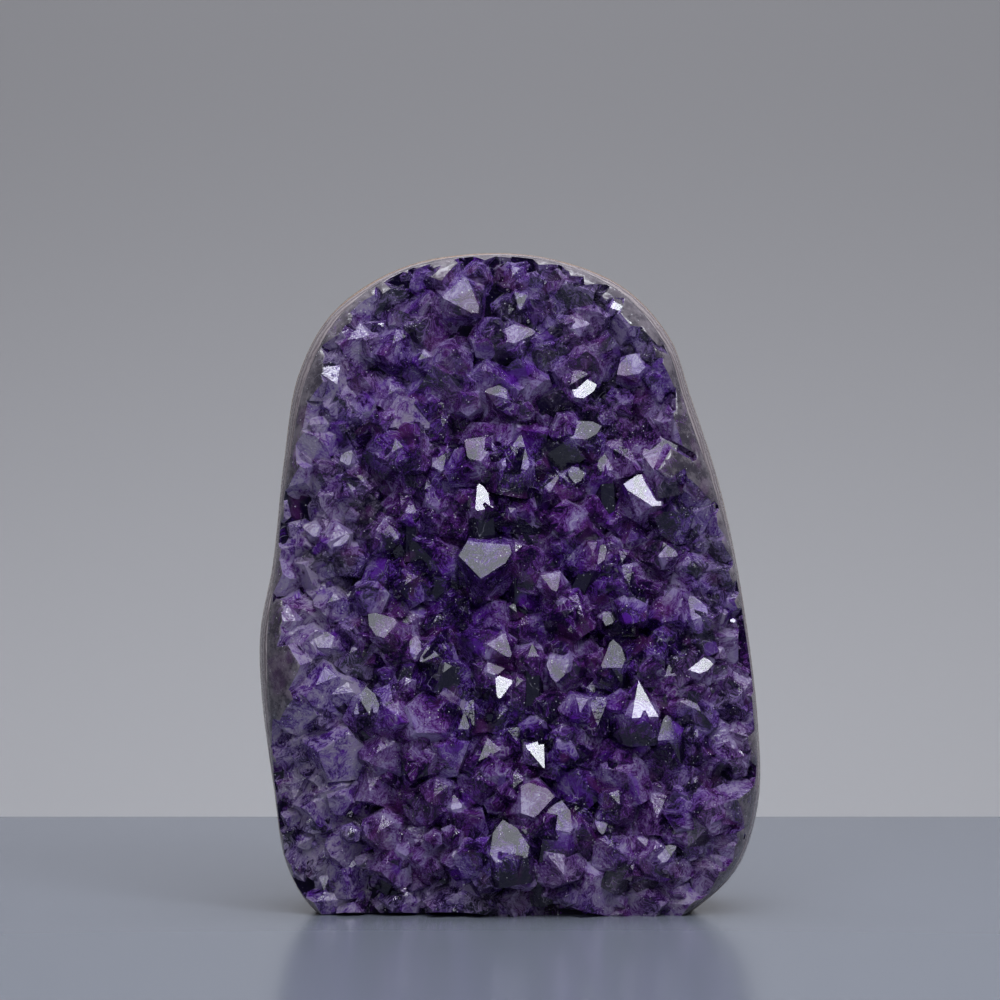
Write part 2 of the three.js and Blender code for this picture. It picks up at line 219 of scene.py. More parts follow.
class Wires:
    """A short way to add and join nodes in one material or group."""

    def __init__(self, tree: bpy.types.NodeTree) -> None:
        """Starts on a node tree."""
        self.tree = tree

    def fill(self, node: bpy.types.Node, inputs: dict[str | int, object]) -> None:
        """Sets inputs of a node to values, or joins them to other nodes.

        Args:
            node: the node.
            inputs: a value or an output socket for each input's name or number.
        """
        for name, value in inputs.items():
            if isinstance(value, bpy.types.NodeSocket):
                self.tree.links.new(value, node.inputs[name])
            else:
                node.inputs[name].default_value = value

    def add(self, kind: str, inputs: dict[str | int, object] | None = None,
            **settings: object) -> bpy.types.Node:
        """Adds a node.

        Args:
            kind: the node's type.
            inputs: values or output sockets for its inputs.
            settings: its own settings.

        Returns:
            The node.
        """
        node = self.tree.nodes.new(kind)
        for name, value in settings.items():
            setattr(node, name, value)
        self.fill(node, inputs or {})
        return node

    def math(self, operation: str, a: object, b: object) -> bpy.types.NodeSocket:
        """Does one sum of two numbers or sockets."""
        return self.add("ShaderNodeMath", {0: a, 1: b}, operation=operation).outputs[0]

    def plus(self, a: object, b: object) -> bpy.types.NodeSocket:
        """Adds two numbers or sockets."""
        return self.math("ADD", a, b)

    def minus(self, a: object, b: object) -> bpy.types.NodeSocket:
        """Takes the second of two numbers or sockets from the first."""
        return self.math("SUBTRACT", a, b)

    def times(self, a: object, b: object) -> bpy.types.NodeSocket:
        """Multiplies two numbers or sockets."""
        return self.math("MULTIPLY", a, b)

    def spread(self, value: object, low: float, high: float,
               to_low: float = 0.0, to_high: float = 1.0) -> bpy.types.NodeSocket:
        """Maps one range onto another, smoothly and without passing its ends.

        Args:
            value: the number.
            low: start of its range.
            high: end of its range.
            to_low: what the start becomes.
            to_high: what the end becomes.

        Returns:
            The result's socket.
        """
        inputs = {0: value, 1: low, 2: high, 3: to_low, 4: to_high}
        return self.add("ShaderNodeMapRange", inputs, interpolation_type="SMOOTHSTEP").outputs[0]

    def mix(self, factor: object, a: object, b: object) -> bpy.types.NodeSocket:
        """Mixes two colours; the factor is the share of the second."""
        return self.add("ShaderNodeMix", {0: factor, 6: a, 7: b}, data_type="RGBA").outputs[2]

    def noise(self, place: object, scale: float, detail: float,
              rough: float = 0.55) -> bpy.types.NodeSocket:
        """Adds a noise pattern.

        Args:
            place: where it is read.
            scale: its fineness, per metre.
            detail: how many finer layers it has.
            rough: how strong they are.

        Returns:
            The pattern's value, about 0 to 1.
        """
        inputs = {"Vector": place, "Scale": scale, "Detail": detail, "Roughness": rough}
        return self.add("ShaderNodeTexNoise", inputs).outputs["Fac"]

    def dots(self, place: object, scale: float, reach: float, bare: float) -> bpy.types.NodeSocket:
        """Scatters round dots of different sizes.

        Args:
            place: where they are read.
            scale: how many places for a dot lie in a metre.
            reach: radius of the largest dot, as a share of the distance between places.
            bare: the share of places that stay without a dot.

        Returns:
            1 in a dot and 0 beside it.
        """
        cells = self.add("ShaderNodeTexVoronoi", {"Vector": place, "Scale": scale})
        lots = self.add("ShaderNodeSeparateColor", {0: cells.outputs["Color"]}).outputs
        inside = self.math("LESS_THAN", cells.outputs["Distance"], self.times(lots[1], reach))
        return self.times(inside, self.math("GREATER_THAN", lots[0], bare))

    def vector(self, operation: str, a: object, b: object) -> bpy.types.Node:
        """Does one sum on vectors; the first output is a vector and the second a number."""
        return self.add("ShaderNodeVectorMath", {0: a, 1: b}, operation=operation)

    def wall_depth(self, place: bpy.types.NodeSocket, form: "Pebble") -> bpy.types.NodeSocket:
        """Works out how deep a place lies in the geode's wall, before the pebble leans back.

        Args:
            place: the place, in metres.
            form: the pebble, whose lean and taper are undone.

        Returns:
            The depth in metres, less than zero in front.
        """
        parts = self.add("ShaderNodeSeparateXYZ", {0: place}).outputs
        upright = self.minus(parts[1], self.times(parts[2], form.lean_back))
        taper = self.times(parts[2], -form.thinner_at_top / (form.height * MM))
        return self.math("DIVIDE", self.plus(upright, form.middle_depth * MM), self.plus(taper, 1.0))

    def read(self, name: str, output: str = "Fac") -> bpy.types.NodeSocket:
        """Reads a face's mark by its name."""
        return self.add("ShaderNodeAttribute", attribute_name=name).outputs[output]

    def stored(self, name: str) -> bpy.types.NodeSocket:
        """Reads a number that a mesh stores under a name."""
        return self.add("GeometryNodeInputNamedAttribute", {"Name": name}, data_type="FLOAT").outputs[0]

    def members(self, collection: bpy.types.Collection) -> bpy.types.NodeSocket:
        """Reads a collection's solids, one by one."""
        inputs = {"Collection": collection, "Separate Children": True}
        return self.add("GeometryNodeCollectionInfo", inputs).outputs[0]

    def dress(self, geometry: bpy.types.NodeSocket, finish: bpy.types.Material) -> None:
        """Ends a tree that changes a mesh: what it made becomes plain mesh with one material."""
        plain = self.add("GeometryNodeRealizeInstances", {0: geometry})
        dressed = self.add("GeometryNodeSetMaterial", {"Geometry": plain.outputs[0], "Material": finish})
        self.add("NodeGroupOutput", {0: dressed.outputs[0]})


def start_growth(name: str, numbers: Sequence[str]) -> Wires:
    """Starts a node tree that changes a mesh.

    Args:
        name: the tree's name.
        numbers: names of the numbers that it takes, besides the mesh and a seed.

    Returns:
        The tree's wires.
    """
    tree = bpy.data.node_groups.new(name, "GeometryNodeTree")
    tree.interface.new_socket("Geometry", in_out="INPUT", socket_type="NodeSocketGeometry")
    for number in numbers:
        tree.interface.new_socket(number, in_out="INPUT", socket_type="NodeSocketFloat")
    tree.interface.new_socket("Seed", in_out="INPUT", socket_type="NodeSocketInt")
    tree.interface.new_socket("Geometry", in_out="OUTPUT", socket_type="NodeSocketGeometry")
    return Wires(tree)


@dataclass
class Pebble:
    """The polished pebble's form, which the rock and the crystals share. Sizes are in millimetres."""

    outline: tuple[Point, ...] = (
        (20, -8), (33, 0), (41.5, 8), (45.4, 20), (45.4, 34), (42.5, 58), (38.6, 77), (33.2, 94),
        (29.5, 104.5), (21, 113.8), (8, 119), (-6, 120), (-20, 117.3), (-32, 109.5), (-38.5, 98),
        (-41.2, 82), (-43.2, 63), (-45.4, 51), (-45.2, 40), (-42.8, 22), (-40.4, 8.5), (-35, 0),
        (-20, -8), (0, -11),
    )
    height: float = 120
    heart: Point = (0, 52)
    front_depth: float = 23
    back_depth: float = 34
    front_roundness: float = 3.2
    back_roundness: float = 2.6
    lean_back: float = math.tan(math.radians(4))
    thinner_at_top: float = 0.24
    middle_depth: float = 8.2
    face_heart: float = -4
    face_rim: float = -6.5
    broad_bands: tuple[Place, ...] = (
        (186, 20, 9), (132, 20, 8.5), (48, 26, 9), (-38, 16, 5), (0, 20, 2),
    )
    band_steepness: float = 12
    layer_scales: tuple[float, ...] = (0.4, 0.6, 0.72, 0.82, 0.88, 0.92, 0.95, 0.975, 1.0, 1.12)
    face_scales: tuple[float, ...] = (0.4, 0.72, 0.82, 0.88, 0.92, 0.95, 0.975, 1.0, 1.03, 1.06, 1.12)
    face_bend: int = 3
    layer_bend: int = 4
    swell: float = 0.55
    swell_waves: tuple[Place, ...] = ((3, 1, 0), (5, 0, 4))
    back_relief: float = 0.28
    relief_fades: Point = (8, 20)
    relief_waves: tuple[Point, ...] = ((0.45, 1.0), (1.1, 0.5))
    curve_steps: int = 24
    steps: int = 168
    depth_rings: int = 60

    def __post_init__(self) -> None:
        """Works out the smooth outline once."""
        self.rim = self.smooth_outline()
        hx, hz = self.heart
        polar = sorted((math.atan2(z - hz, x - hx), math.hypot(x - hx, z - hz)) for x, z in self.rim)
        self.rim_angles = [angle for angle, _ in polar]
        self.rim_reaches = [reach for _, reach in polar]

    def smooth_outline(self) -> list[Point]:
        """Runs a smooth closed curve through the outline's points.

        Returns:
            Points spaced evenly along the curve.
        """
        given = [Vector(p) for p in self.outline]
        count = len(given)
        dense: list[Vector] = []
        for i in range(count):
            a, b, c, d = (given[(i + k - 1) % count] for k in range(4))
            ab, bc, cd = ((q - p).length ** 0.5 for p, q in ((a, b), (b, c), (c, d)))
            leave = ((b - a) / ab - (c - a) / (ab + bc) + (c - b) / bc) * bc
            arrive = ((c - b) / bc - (d - b) / (bc + cd) + (d - c) / cd) * bc
            for k in range(self.curve_steps):
                t = k / self.curve_steps
                dense.append(
                    b * (2 * t**3 - 3 * t**2 + 1) + leave * (t**3 - 2 * t**2 + t)
                    + c * (3 * t**2 - 2 * t**3) + arrive * (t**3 - t**2)
                )
        dense.append(dense[0])
        walked = np.concatenate([[0], np.cumsum([(q - p).length for p, q in zip(dense, dense[1:])])])
        wanted = np.linspace(0, walked[-1], self.steps, endpoint=False)
        xs = np.interp(wanted, walked, [p.x for p in dense])
        zs = np.interp(wanted, walked, [p.y for p in dense])
        return list(zip(xs.tolist(), zs.tolist()))

    def lean(self, x: float, y: float, z: float) -> Vector:
        """Leans a point in millimetres back and draws it in towards the top, as the pebble does."""
        depth = y * (1 - self.thinner_at_top * z / self.height) + z * self.lean_back - self.middle_depth
        return Vector((x, depth, z))

    def ring_body(self, name: str, rings: Sequence[tuple[float, Callable[[float], float]]],
                  front: float, back: float) -> bpy.types.Mesh:
        """Makes a closed body of rings of the outline.

        Args:
            name: the mesh's name.
            rings: scale of each ring, and its depth as a function of the angle round the face.
            front: depth of the point that closes the front.
            back: depth of the point that closes the back.

        Returns:
            The mesh.
        """
        hx, hz = self.heart
        points = [self.lean(hx, front, hz)]
        for scale, depth_at in rings:
            for x, z in self.rim:
                angle = math.atan2(z - hz, x - hx)
                points.append(self.lean(hx + (x - hx) * scale, depth_at(angle), hz + (z - hz) * scale))
        points.append(self.lean(hx, back, hz))
        count = len(self.rim)
        last = len(points) - 1
        faces = []
        for i in range(count):
            j = (i + 1) % count
            faces.append((0, 1 + i, 1 + j))
            for ring in range(len(rings) - 1):
                near = 1 + ring * count
                faces.append((near + i, near + count + i, near + count + j, near + j))
            end = 1 + (len(rings) - 1) * count
            faces.append((last, end + j, end + i))
        return new_mesh(name, points, faces)

    def back_swell(self, scale: float, angle: float) -> float:
        """Gives the low swells of the ground back, at a share of the way to the rim and an angle."""
        waves = sum(math.sin(lobes * angle + offset + twist * scale)
                    for lobes, offset, twist in self.swell_waves)
        return self.swell * 4 * scale * (1 - scale) * waves

    def envelope(self) -> bpy.types.Mesh:
        """Makes the whole polished pebble, before the saw cut."""
        rings = []
        for i in range(1, self.depth_rings):
            turn = -math.pi / 2 + math.pi * i / self.depth_rings
            power = 2 / (self.front_roundness if turn < 0 else self.back_roundness)
            scale = math.cos(turn) ** power
            reach = abs(math.sin(turn)) ** power
            if turn < 0:
                rings.append((scale, lambda angle, r=reach: -self.front_depth * r))
            else:
                rings.append((scale, lambda angle, r=reach, s=scale: (
                    self.back_depth * r + self.back_swell(s, angle))))
        mesh = self.ring_body("pebble", rings, -self.front_depth, self.back_depth)
        self.roughen_back(mesh)
        return mesh

    def roughen_back(self, mesh: bpy.types.Mesh) -> None:
        """Gives the pebble's ground back its low, uneven relief."""
        starts, whole = self.relief_fades
        for vertex in mesh.vertices:
            place = vertex.co / MM
            share = min(1.0, max(0.0, (place.y - starts) / (whole - starts)))
            bumps = sum(height * noise.noise(place * fineness) for fineness, height in self.relief_waves)
            vertex.co.y += self.back_relief * MM * share * bumps

    def band_forward(self, angle: float) -> float:
        """Gives how far forward the agate band comes at an angle round the face."""
        forward = 0.0
        for at, half_width, height in self.broad_bands:
            away = (math.degrees(angle) - at + 180) % 360 - 180
            forward += height * math.exp(-((away / half_width) ** 2))
        return forward

    def band_at(self, scale: float, angle: float) -> float:
        """Gives how far forward the layers lie, which grows steeply from the heart, 0, to the rim, 1."""
        return self.band_forward(angle) * min(scale, 1.0) ** self.band_steepness

    def behind_face(self, gap: float) -> bpy.types.Mesh:
        """Makes a block of everything behind the rock's front face.

        Args:
            gap: how far the block stands forward of the face.

        Returns:
            The block's mesh.
        """
        def depth_of(scale: float) -> Callable[[float], float]:
            """Gives a ring's depth as a function of the angle."""
            flat = self.face_heart + (self.face_rim - self.face_heart) * scale**self.face_bend - gap
            return lambda angle: flat - self.band_at(scale, angle)

        rings = [(scale, depth_of(scale)) for scale in self.face_scales]
        rings.append((self.face_scales[-1], lambda angle: 2 * self.back_depth))
        return self.ring_body("behind_face", rings, self.face_heart - gap, 2 * self.back_depth)

    def crust(self, heart: float, rim: float) -> bpy.types.Mesh:
        """Makes the body that the crystals' feet stand on.

        Args:
            heart: depth of its front at the heart, before the lean.
            rim: depth of its front at the rim.

        Returns:
            The body's mesh.
        """
        def depth_of(scale: float) -> Callable[[float], float]:
            """Gives a ring's depth as a function of the angle."""
            flat = heart + (rim - heart) * min(scale, 1.0) ** self.layer_bend
            return lambda angle: flat - self.band_at(scale, angle)

        rings = [(scale, depth_of(scale)) for scale in self.layer_scales]
        rings.append((self.layer_scales[-1], lambda angle: 0.0))
        return self.ring_body("crust", rings, heart, 0.0)

    def scale_at(self, x: float | np.ndarray, z: float | np.ndarray) -> float | np.ndarray:
        """Tells how far out places are, from 0 at the heart to 1 at the rim.

        Args:
            x: places across, in millimetres.
            z: their heights, in millimetres.

        Returns:
            The share of the way to the rim.
        """
        hx, hz = self.heart
        reach = np.interp(np.arctan2(z - hz, x - hx), self.rim_angles, self.rim_reaches, period=2 * math.pi)
        return np.hypot(x - hx, z - hz) / reach


def under_base() -> bpy.types.Mesh:
    """Makes a block of everything under the saw cut."""
    width, depth = 0.3, 0.06
    mesh = bpy.data.meshes.new("under_base")
    shape = bmesh.new()
    place = Matrix.Translation((0, 0, -depth / 2)) @ Matrix.Diagonal((width, width, depth, 1))
    bmesh.ops.create_cube(shape, size=1, matrix=place)
    shape.to_mesh(mesh)
    shape.free()
    return mesh


@dataclass
class Chip:
    """The broken lower edge at the front left, in millimetres."""

    height: float = 3
    front: float = -26
    foot: float = -6
    below: float = -5
    flare: float = 4
    taper: tuple[Point, ...] = ((-34, -2), (-28, 0), (-10, 0), (-4, -4))

    def mesh(self, pebble: Pebble) -> bpy.types.Mesh:
        """Makes the wedge that is missing from the pebble."""
        corners = [(x, self.foot + y, z) for x, y in self.taper for z in (0, self.below)]
        ends = (self.taper[0][0] - self.flare, self.taper[-1][0])
        corners += [(x, self.front, z) for x in ends for z in (self.height, self.below)]
        mesh = bpy.data.meshes.new("chip")
        shape = bmesh.new()
        for x, y, z in corners:
            shape.verts.new((x * MM, (y - pebble.middle_depth) * MM, z * MM))
        bmesh.ops.convex_hull(shape, input=list(shape.verts))
        shape.to_mesh(mesh)
        shape.free()
        return mesh


@dataclass
class Crystal:
    """One quartz point, in millimetres. Its reaches and its apex are shares of its size."""

    prism_reach: ClassVar[Point] = (0.86, 1.14)
    narrow_reach: ClassVar[Point] = (0.1, 0.45)
    first_broad_face: ClassVar[int] = 2
    exact: ClassVar[float] = 1e-6
    least_edge: ClassVar[float] = 0.01

    tip: Vector
    axis: Vector
    face_towards: Vector
    size: float
    tone: float
    pale: float = 0.0
    stem: float = 11.0
    apex: float = 1.0
    shine: float | None = None
    rooted: bool = True

    def planes(self, draws: Draws) -> tuple[np.ndarray, np.ndarray]:
        """Lists the crystal's planes, with its tip at the origin and its axis up.

        Args:
            draws: where the small irregularities come from.

        Returns:
            Their normals and their distances from the tip.
        """
        normals = [(0.0, 0.0, -1.0)]
        reaches = [self.stem]
        for side in range(6):
            turn = side * math.pi / 3
            x, y = math.cos(turn), math.sin(turn)
            normals.append((x, y, 0.0))
            reaches.append(self.size * draws.between(*self.prism_reach))
            narrow = side % 2 == 1
            normals.append((x * math.sin(FACE_TILT), y * math.sin(FACE_TILT), math.cos(FACE_TILT)))
            reaches.append(self.size * self.apex * draws.between(*self.narrow_reach) if narrow else 0.0)
        return np.array(normals), np.array(reaches)

    def mesh(self, name: str, draws: Draws) -> bpy.types.Mesh:
        """Makes the crystal's mesh, with its face numbers.

        Args:
            name: the mesh's name.
            draws: where the small irregularities come from.

        Returns:
            The mesh, in place.
        """
        normals, reaches = self.planes(draws)
        triples = np.array(list(itertools.combinations(range(len(normals)), 3)))
        sets = normals[triples]
        solvable = np.abs(np.linalg.det(sets)) > self.exact
        corners = np.linalg.solve(sets[solvable], reaches[triples[solvable]][..., None])[..., 0]
        inside = np.all(corners @ normals.T <= reaches + self.exact, axis=1)
        corners = self.apart(corners[inside], self.least_edge)
        z = self.axis.normalized()
        x = (self.face_towards - z * self.face_towards.dot(z)).normalized()
        turn = Matrix((x, z.cross(x), z)).transposed()
        shape = bmesh.new()
        for corner in corners:
            shape.verts.new(corner)
        bmesh.ops.convex_hull(shape, input=list(shape.verts))
        bmesh.ops.dissolve_limit(
            shape, angle_limit=self.least_edge, verts=list(shape.verts), edges=list(shape.edges))
        shape.normal_update()
        sides = [int(np.argmax(normals @ np.array(face.normal))) for face in shape.faces]
        mesh = bpy.data.meshes.new(name)
        shape.to_mesh(mesh)
        shape.free()
        mesh.transform(Matrix.Scale(MM, 4) @ Matrix.Translation(self.tip) @ turn.to_4x4())
        looks = [draws.between(0, 1) for _ in normals]
        if self.shine is not None:
            looks[self.first_broad_face] = self.shine
        mark_faces(mesh, "facet", [looks[side] for side in sides])
        girth = self.size * MM if self.rooted else 0.0
        marks = {
            "tone": self.tone, "pale": self.pale, "girth": girth, "apex_at": self.tip * MM, "points_to": z,
        }
        for mark, value in marks.items():
            mark_faces(mesh, mark, [value] * len(sides))
        return mesh

    @staticmethod
    def apart(corners: np.ndarray, least: float) -> np.ndarray:
        """Keeps one of each group of corners that lie closer together than a distance in millimetres."""
        kept: list[np.ndarray] = []
        for corner in corners:
            if all(np.linalg.norm(corner - other) > least for other in kept):
                kept.append(corner)
        return np.array(kept)


FaceSpec = tuple[float, float, float, float, float, float]
PointSpec = tuple[float, float, float, float]
LobeSpec = tuple[float, float, float, float, float]


@dataclass(frozen=True)
class Milkiness:
    """Where the crystals turn milky: near the rim, on the left and low down. Places are in millimetres."""

    rim_from: float = 0.5
    rim_most: float = 0.5
    left_from: float = 24
    left_over: float = 14
    left_most: float = 0.85
    upper_from: float = 90
    upper_left_most: float = 0.5
    low_under: float = 12
    low_most: float = 0.35

    def at(self, scale: float, x: float, z: float) -> float:
        """Tells how milky a crystal is.

        Args:
            scale: how far out it stands, from 0 at the heart to 1 at the rim.
            x: its place across.
            z: its height.

        Returns:
            A number from 0, which is clear, to 1.
        """
        rim = max(0.0, (scale - self.rim_from) / (1 - self.rim_from)) ** 2 * self.rim_most
        left_most = self.left_most if z < self.upper_from else self.upper_left_most
        left = max(0.0, (-x - self.left_from) / self.left_over) * left_most
        low = max(0.0, (self.low_under - z) / self.low_under) * self.low_most
        return min(1.0, rim + left + low)


@dataclass(frozen=True)
class Filling:
    """One round of crystals that fill the room between the placed ones. Sizes are in millimetres.

    The clearance is the least distance to a placed crystal, as a share of both sizes.
    """

    step: float
    sizes: Point
    rises: Point
    clearance: float


@dataclass(frozen=True)
class Neighbours:
    """The crystals at the foot of one that shows a broad face.

    Sizes and distances are shares of that face's size, and the least size is in millimetres. Each place
    is an angle round the face, in degrees, and how far forward the neighbour stands.
    """

    places: tuple[Point, ...] = ((180, 0.3), (112, -0.1), (-118, -0.1))
    turn: float = 16
    least_size: float = 3.3
    sizes: Point = (0.85, 1.35)
    away: float = 0.95
    own_away: float = 0.4
    lean: Point = (0.4, 0.35)


@dataclass(frozen=True)
class Seedlings:
    """The smallest crystals, which grow in the valleys between the others.

    Sizes are in millimetres, and the scale turns a form into a crystal. The oval is half the width and
    half the height of the ground that the valleys are measured in. Forward, outward and sway share out
    where a seedling points to.
    """

    forms: int = 14
    lean: float = 0.2
    tips: Point = (0.7, 1.6)
    girths: Point = (0.8, 1.05)
    pale: Point = (0, 0.3)
    stem: float = 3.2
    density: float = 0.045
    scale: Point = (0.35, 0.95)
    valley_rise: float = 1.2
    valley_oval: Point = (45, 66)
    forward: float = 0.8
    outward: float = 0.5
    sway: float = 0.45
    least_slope: float = 0.1


@dataclass
class Druse:
    """The crust of crystals. Sizes are in millimetres, places are as seen from the eye.

    The faces give x and z of the face's middle, its size, the angle towards the tip, its rise, and how
    blunt the apex is. The points give x and z of the tip, the size and the rise, and the milky lobes also
    give how far they lean to the right.
    """

    pebble: Pebble
    milkiness: Milkiness = Milkiness()
    neighbours: Neighbours = Neighbours()
    young: Seedlings = Seedlings()
    fillings: tuple[Filling, ...] = (
        Filling(7.2, (4.2, 6.2), (2.8, 6), 0.42),
        Filling(10.5, (1.3, 2.6), (2.6, 5.2), 0.3),
        Filling(5.0, (3.0, 4.4), (0.4, 2.2), 0),
    )
    eye: Vector = field(default_factory=lambda: Vector((-1.6, -760, 85)))
    heart_depth: float = -10.5
    rim_depth: float = -7.8
    crust_heart: float = -7.9
    crust_rim: float = -7.4
    gap: float = 0.05
    rim_from: float = 0.78
    rim_width: float = 0.2
    rim_lowering: float = 0.45
    rise_limit: Point = (2.6, 1.05)
    face_to_tip: float = 0.85
    face_girth: float = 1.1
    face_shine: Point = (0, 0.15)
    apexes: Point = (0.3, 1)
    splay: Point = (110, 150)
    point_lean: float = 0.18
    fill_lean: float = 0.5
    milky_lean: float = 0.15
    milky_pale: Point = (0.75, 1)
    fill_half_width: float = 50
    fill_over_top: float = 2
    fill_stray: float = 0.25
    fill_to: float = 1.06
    quiet_tries: int = 9
    crystal_seed: int = 20260
    form_seed: int = 31
    seedling_seed: int = 77
    scatter_seed: int = 5
    face_sway: dict[Looks, float] = field(
        default_factory=lambda: {Looks.SPARK: 0.035, Looks.LIGHT: 0.13, Looks.SIDE: 0.14})
    spark_faces: tuple[FaceSpec, ...] = (
        (2.2, 111.4, 2.2, -100, 7, 0.2), (14.3, 95.5, 2.4, 20, 8, 1), (-4.9, 75.7, 2.6, 100, 8, 0.5),
        (24.4, 76.8, 4, 170, 8, 0.8), (22.7, 54, 3.3, -120, 8, 1), (24.4, 38.5, 3.6, 92, 8, 0),
        (35.5, 44.5, 2.6, 5, 6, 0.9), (-1.3, 40.1, 2.6, -110, 8, 0.3), (-15, 30.2, 1.6, 150, 8, 0.6),
        (-8.8, 30.8, 1.2, 0, 7, 0.6), (5.7, 27.3, 2.6, -75, 8, 0.1), (14.3, 15.8, 1.5, -60, 8, 0.5),
        (38.1, 18.7, 2.9, 45, 6, 0.9), (4.9, 9.2, 1.8, 110, 8, 0.4), (20.3, 110.3, 1.6, -30, 5, 0.6),
        (2.4, 74.2, 1.5, 130, 7, 0.3),
    )
    light_faces: tuple[FaceSpec, ...] = (
        (2.6, 105.5, 2.7, 10, 7, 0.5), (-2.7, 94.7, 2, 180, 7, 0.4), (21.8, 98.9, 2.6, -145, 7, 0.8),
        (-28.9, 78.2, 2, 130, 7, 1), (-18, 73.5, 1.5, 90, 6, 0.3), (-30.8, 67.8, 2, 30, 6, 0.8),
        (-6, 84.5, 3.1, 140, 8, 1), (1.8, 84.1, 3.7, 80, 8, 0.1), (0.4, 74.7, 2.4, 130, 7, 0.7),
        (8.1, 78.2, 1.6, 45, 6, 0.5), (12.6, 79.3, 2.2, -100, 8, 0.8), (17.4, 82.1, 2, 95, 8, 0.4),
        (14.5, 87.8, 3.1, 20, 7, 0.9), (-4.6, 63.8, 4.8, -95, 9, 0.9), (2.4, 63.8, 1.6, 90, 6, 0.3),
        (8.2, 59.5, 2.4, -80, 7, 0.6), (16.7, 65, 2.2, 60, 7, 0.5), (27.8, 83.9, 4, 100, 7, 1),
        (29.5, 65, 2, -20, 6, 0.4), (22, 59.7, 1.6, 90, 8, 0.4), (-24.2, 52.4, 2.6, 140, 7, 0.8),
        (-34.6, 48.9, 2, 160, 6, 0.8), (-17.4, 48.2, 2, 75, 7, 0.5), (-15, 46, 2.2, -130, 7, 0.5),
        (-1.1, 47.6, 2.9, -60, 8, 0.3), (-2.4, 43.8, 2, 0, 7, 0.8), (34.4, 55.3, 2.6, 110, 6, 0.3),
        (18.3, 52.8, 1.8, -110, 8, 0.6), (4.4, 46.9, 1.6, 90, 6, 0.2), (-9.9, 19.2, 1.5, 100, 6, 0.2),
        (-0.4, 12.5, 4, 100, 8, 1), (9.2, 16.7, 3.3, 80, 8, 1), (17.2, 14.3, 1.6, -90, 7, 0.5),
        (22.5, 11.2, 2.4, 60, 7, 0.8), (29.5, 9.9, 2, 40, 7, 0.5), (13.4, 107.2, 1.7, 0, 6, 0.7),
    )
    dull_faces: tuple[FaceSpec, ...] = (
        (-8.1, 111.8, 4.4, -50, 7, 0.8), (-19.2, 86.5, 4.4, 45, 9, 1), (21.3, 94.2, 1.5, 90, 6, 0.5),
        (-36.8, 69.6, 1.6, 160, 5, 0.5), (-21.8, 68.9, 1.5, 110, 6, 0.5), (-12.5, 81.9, 1.6, 60, 6, 0.5),
        (9.7, 71.6, 3.6, 170, 6, 0.9), (-11.9, 63.4, 2, 100, 6, 0.5), (-13.2, 75.1, 2.2, 60, 6, 0.9),
        (24.4, 87, 3.5, 75, 7, 0.9), (19.4, 63.6, 1.8, 45, 7, 0.5), (19.2, 46.3, 3.1, 90, 7, 0.5),
        (26.7, 48.2, 2.6, 95, 6, 0.5), (8.8, 43.4, 2.7, -90, 7, 0.5), (29.9, 44, 1.6, 95, 6, 0.5),
        (30.2, 40.7, 1.8, 60, 6, 0.5), (37.2, 60.1, 1.8, 45, 5, 0.5), (-13.2, 35.4, 4.8, 20, 9, 0.9),
        (-8.8, 34.1, 2, 90, 8, 0.5), (-17, 25.8, 3.6, -110, 8, 0.5), (-21.8, 34.8, 2.4, 180, 7, 0.5),
        (-26.2, 37.6, 3.1, 95, 7, 0.5), (-3.1, 25.8, 2.6, 95, 7, 0.5), (-19.2, 10.6, 1.5, 60, 6, 1),
        (10.4, 27.1, 2.6, -90, 7, 0.5), (10.3, 30.8, 2.2, 20, 7, 0.5), (21.6, 27.1, 1.8, -30, 6, 0.5),
        (29.3, 32.8, 2.6, 95, 6, 0.5), (39.9, 28.9, 1.8, 60, 5, 0.5), (5.3, 20, 3.6, 0, 8, 0.9),
        (30.6, 16.9, 2.9, 170, 6, 0.9), (32.6, 19, 1.5, 30, 6, 0.5), (30.4, 12.8, 1.5, 30, 6, 0.5),
        (-26.9, 93.1, 2.2, 90, 6, 0.5), (-28.8, 90.9, 1.5, 45, 6, 0.5), (-29.7, 82.6, 1.7, 60, 6, 0.5),
        (-16.7, 62.5, 1.7, 60, 6, 0.5),
    )
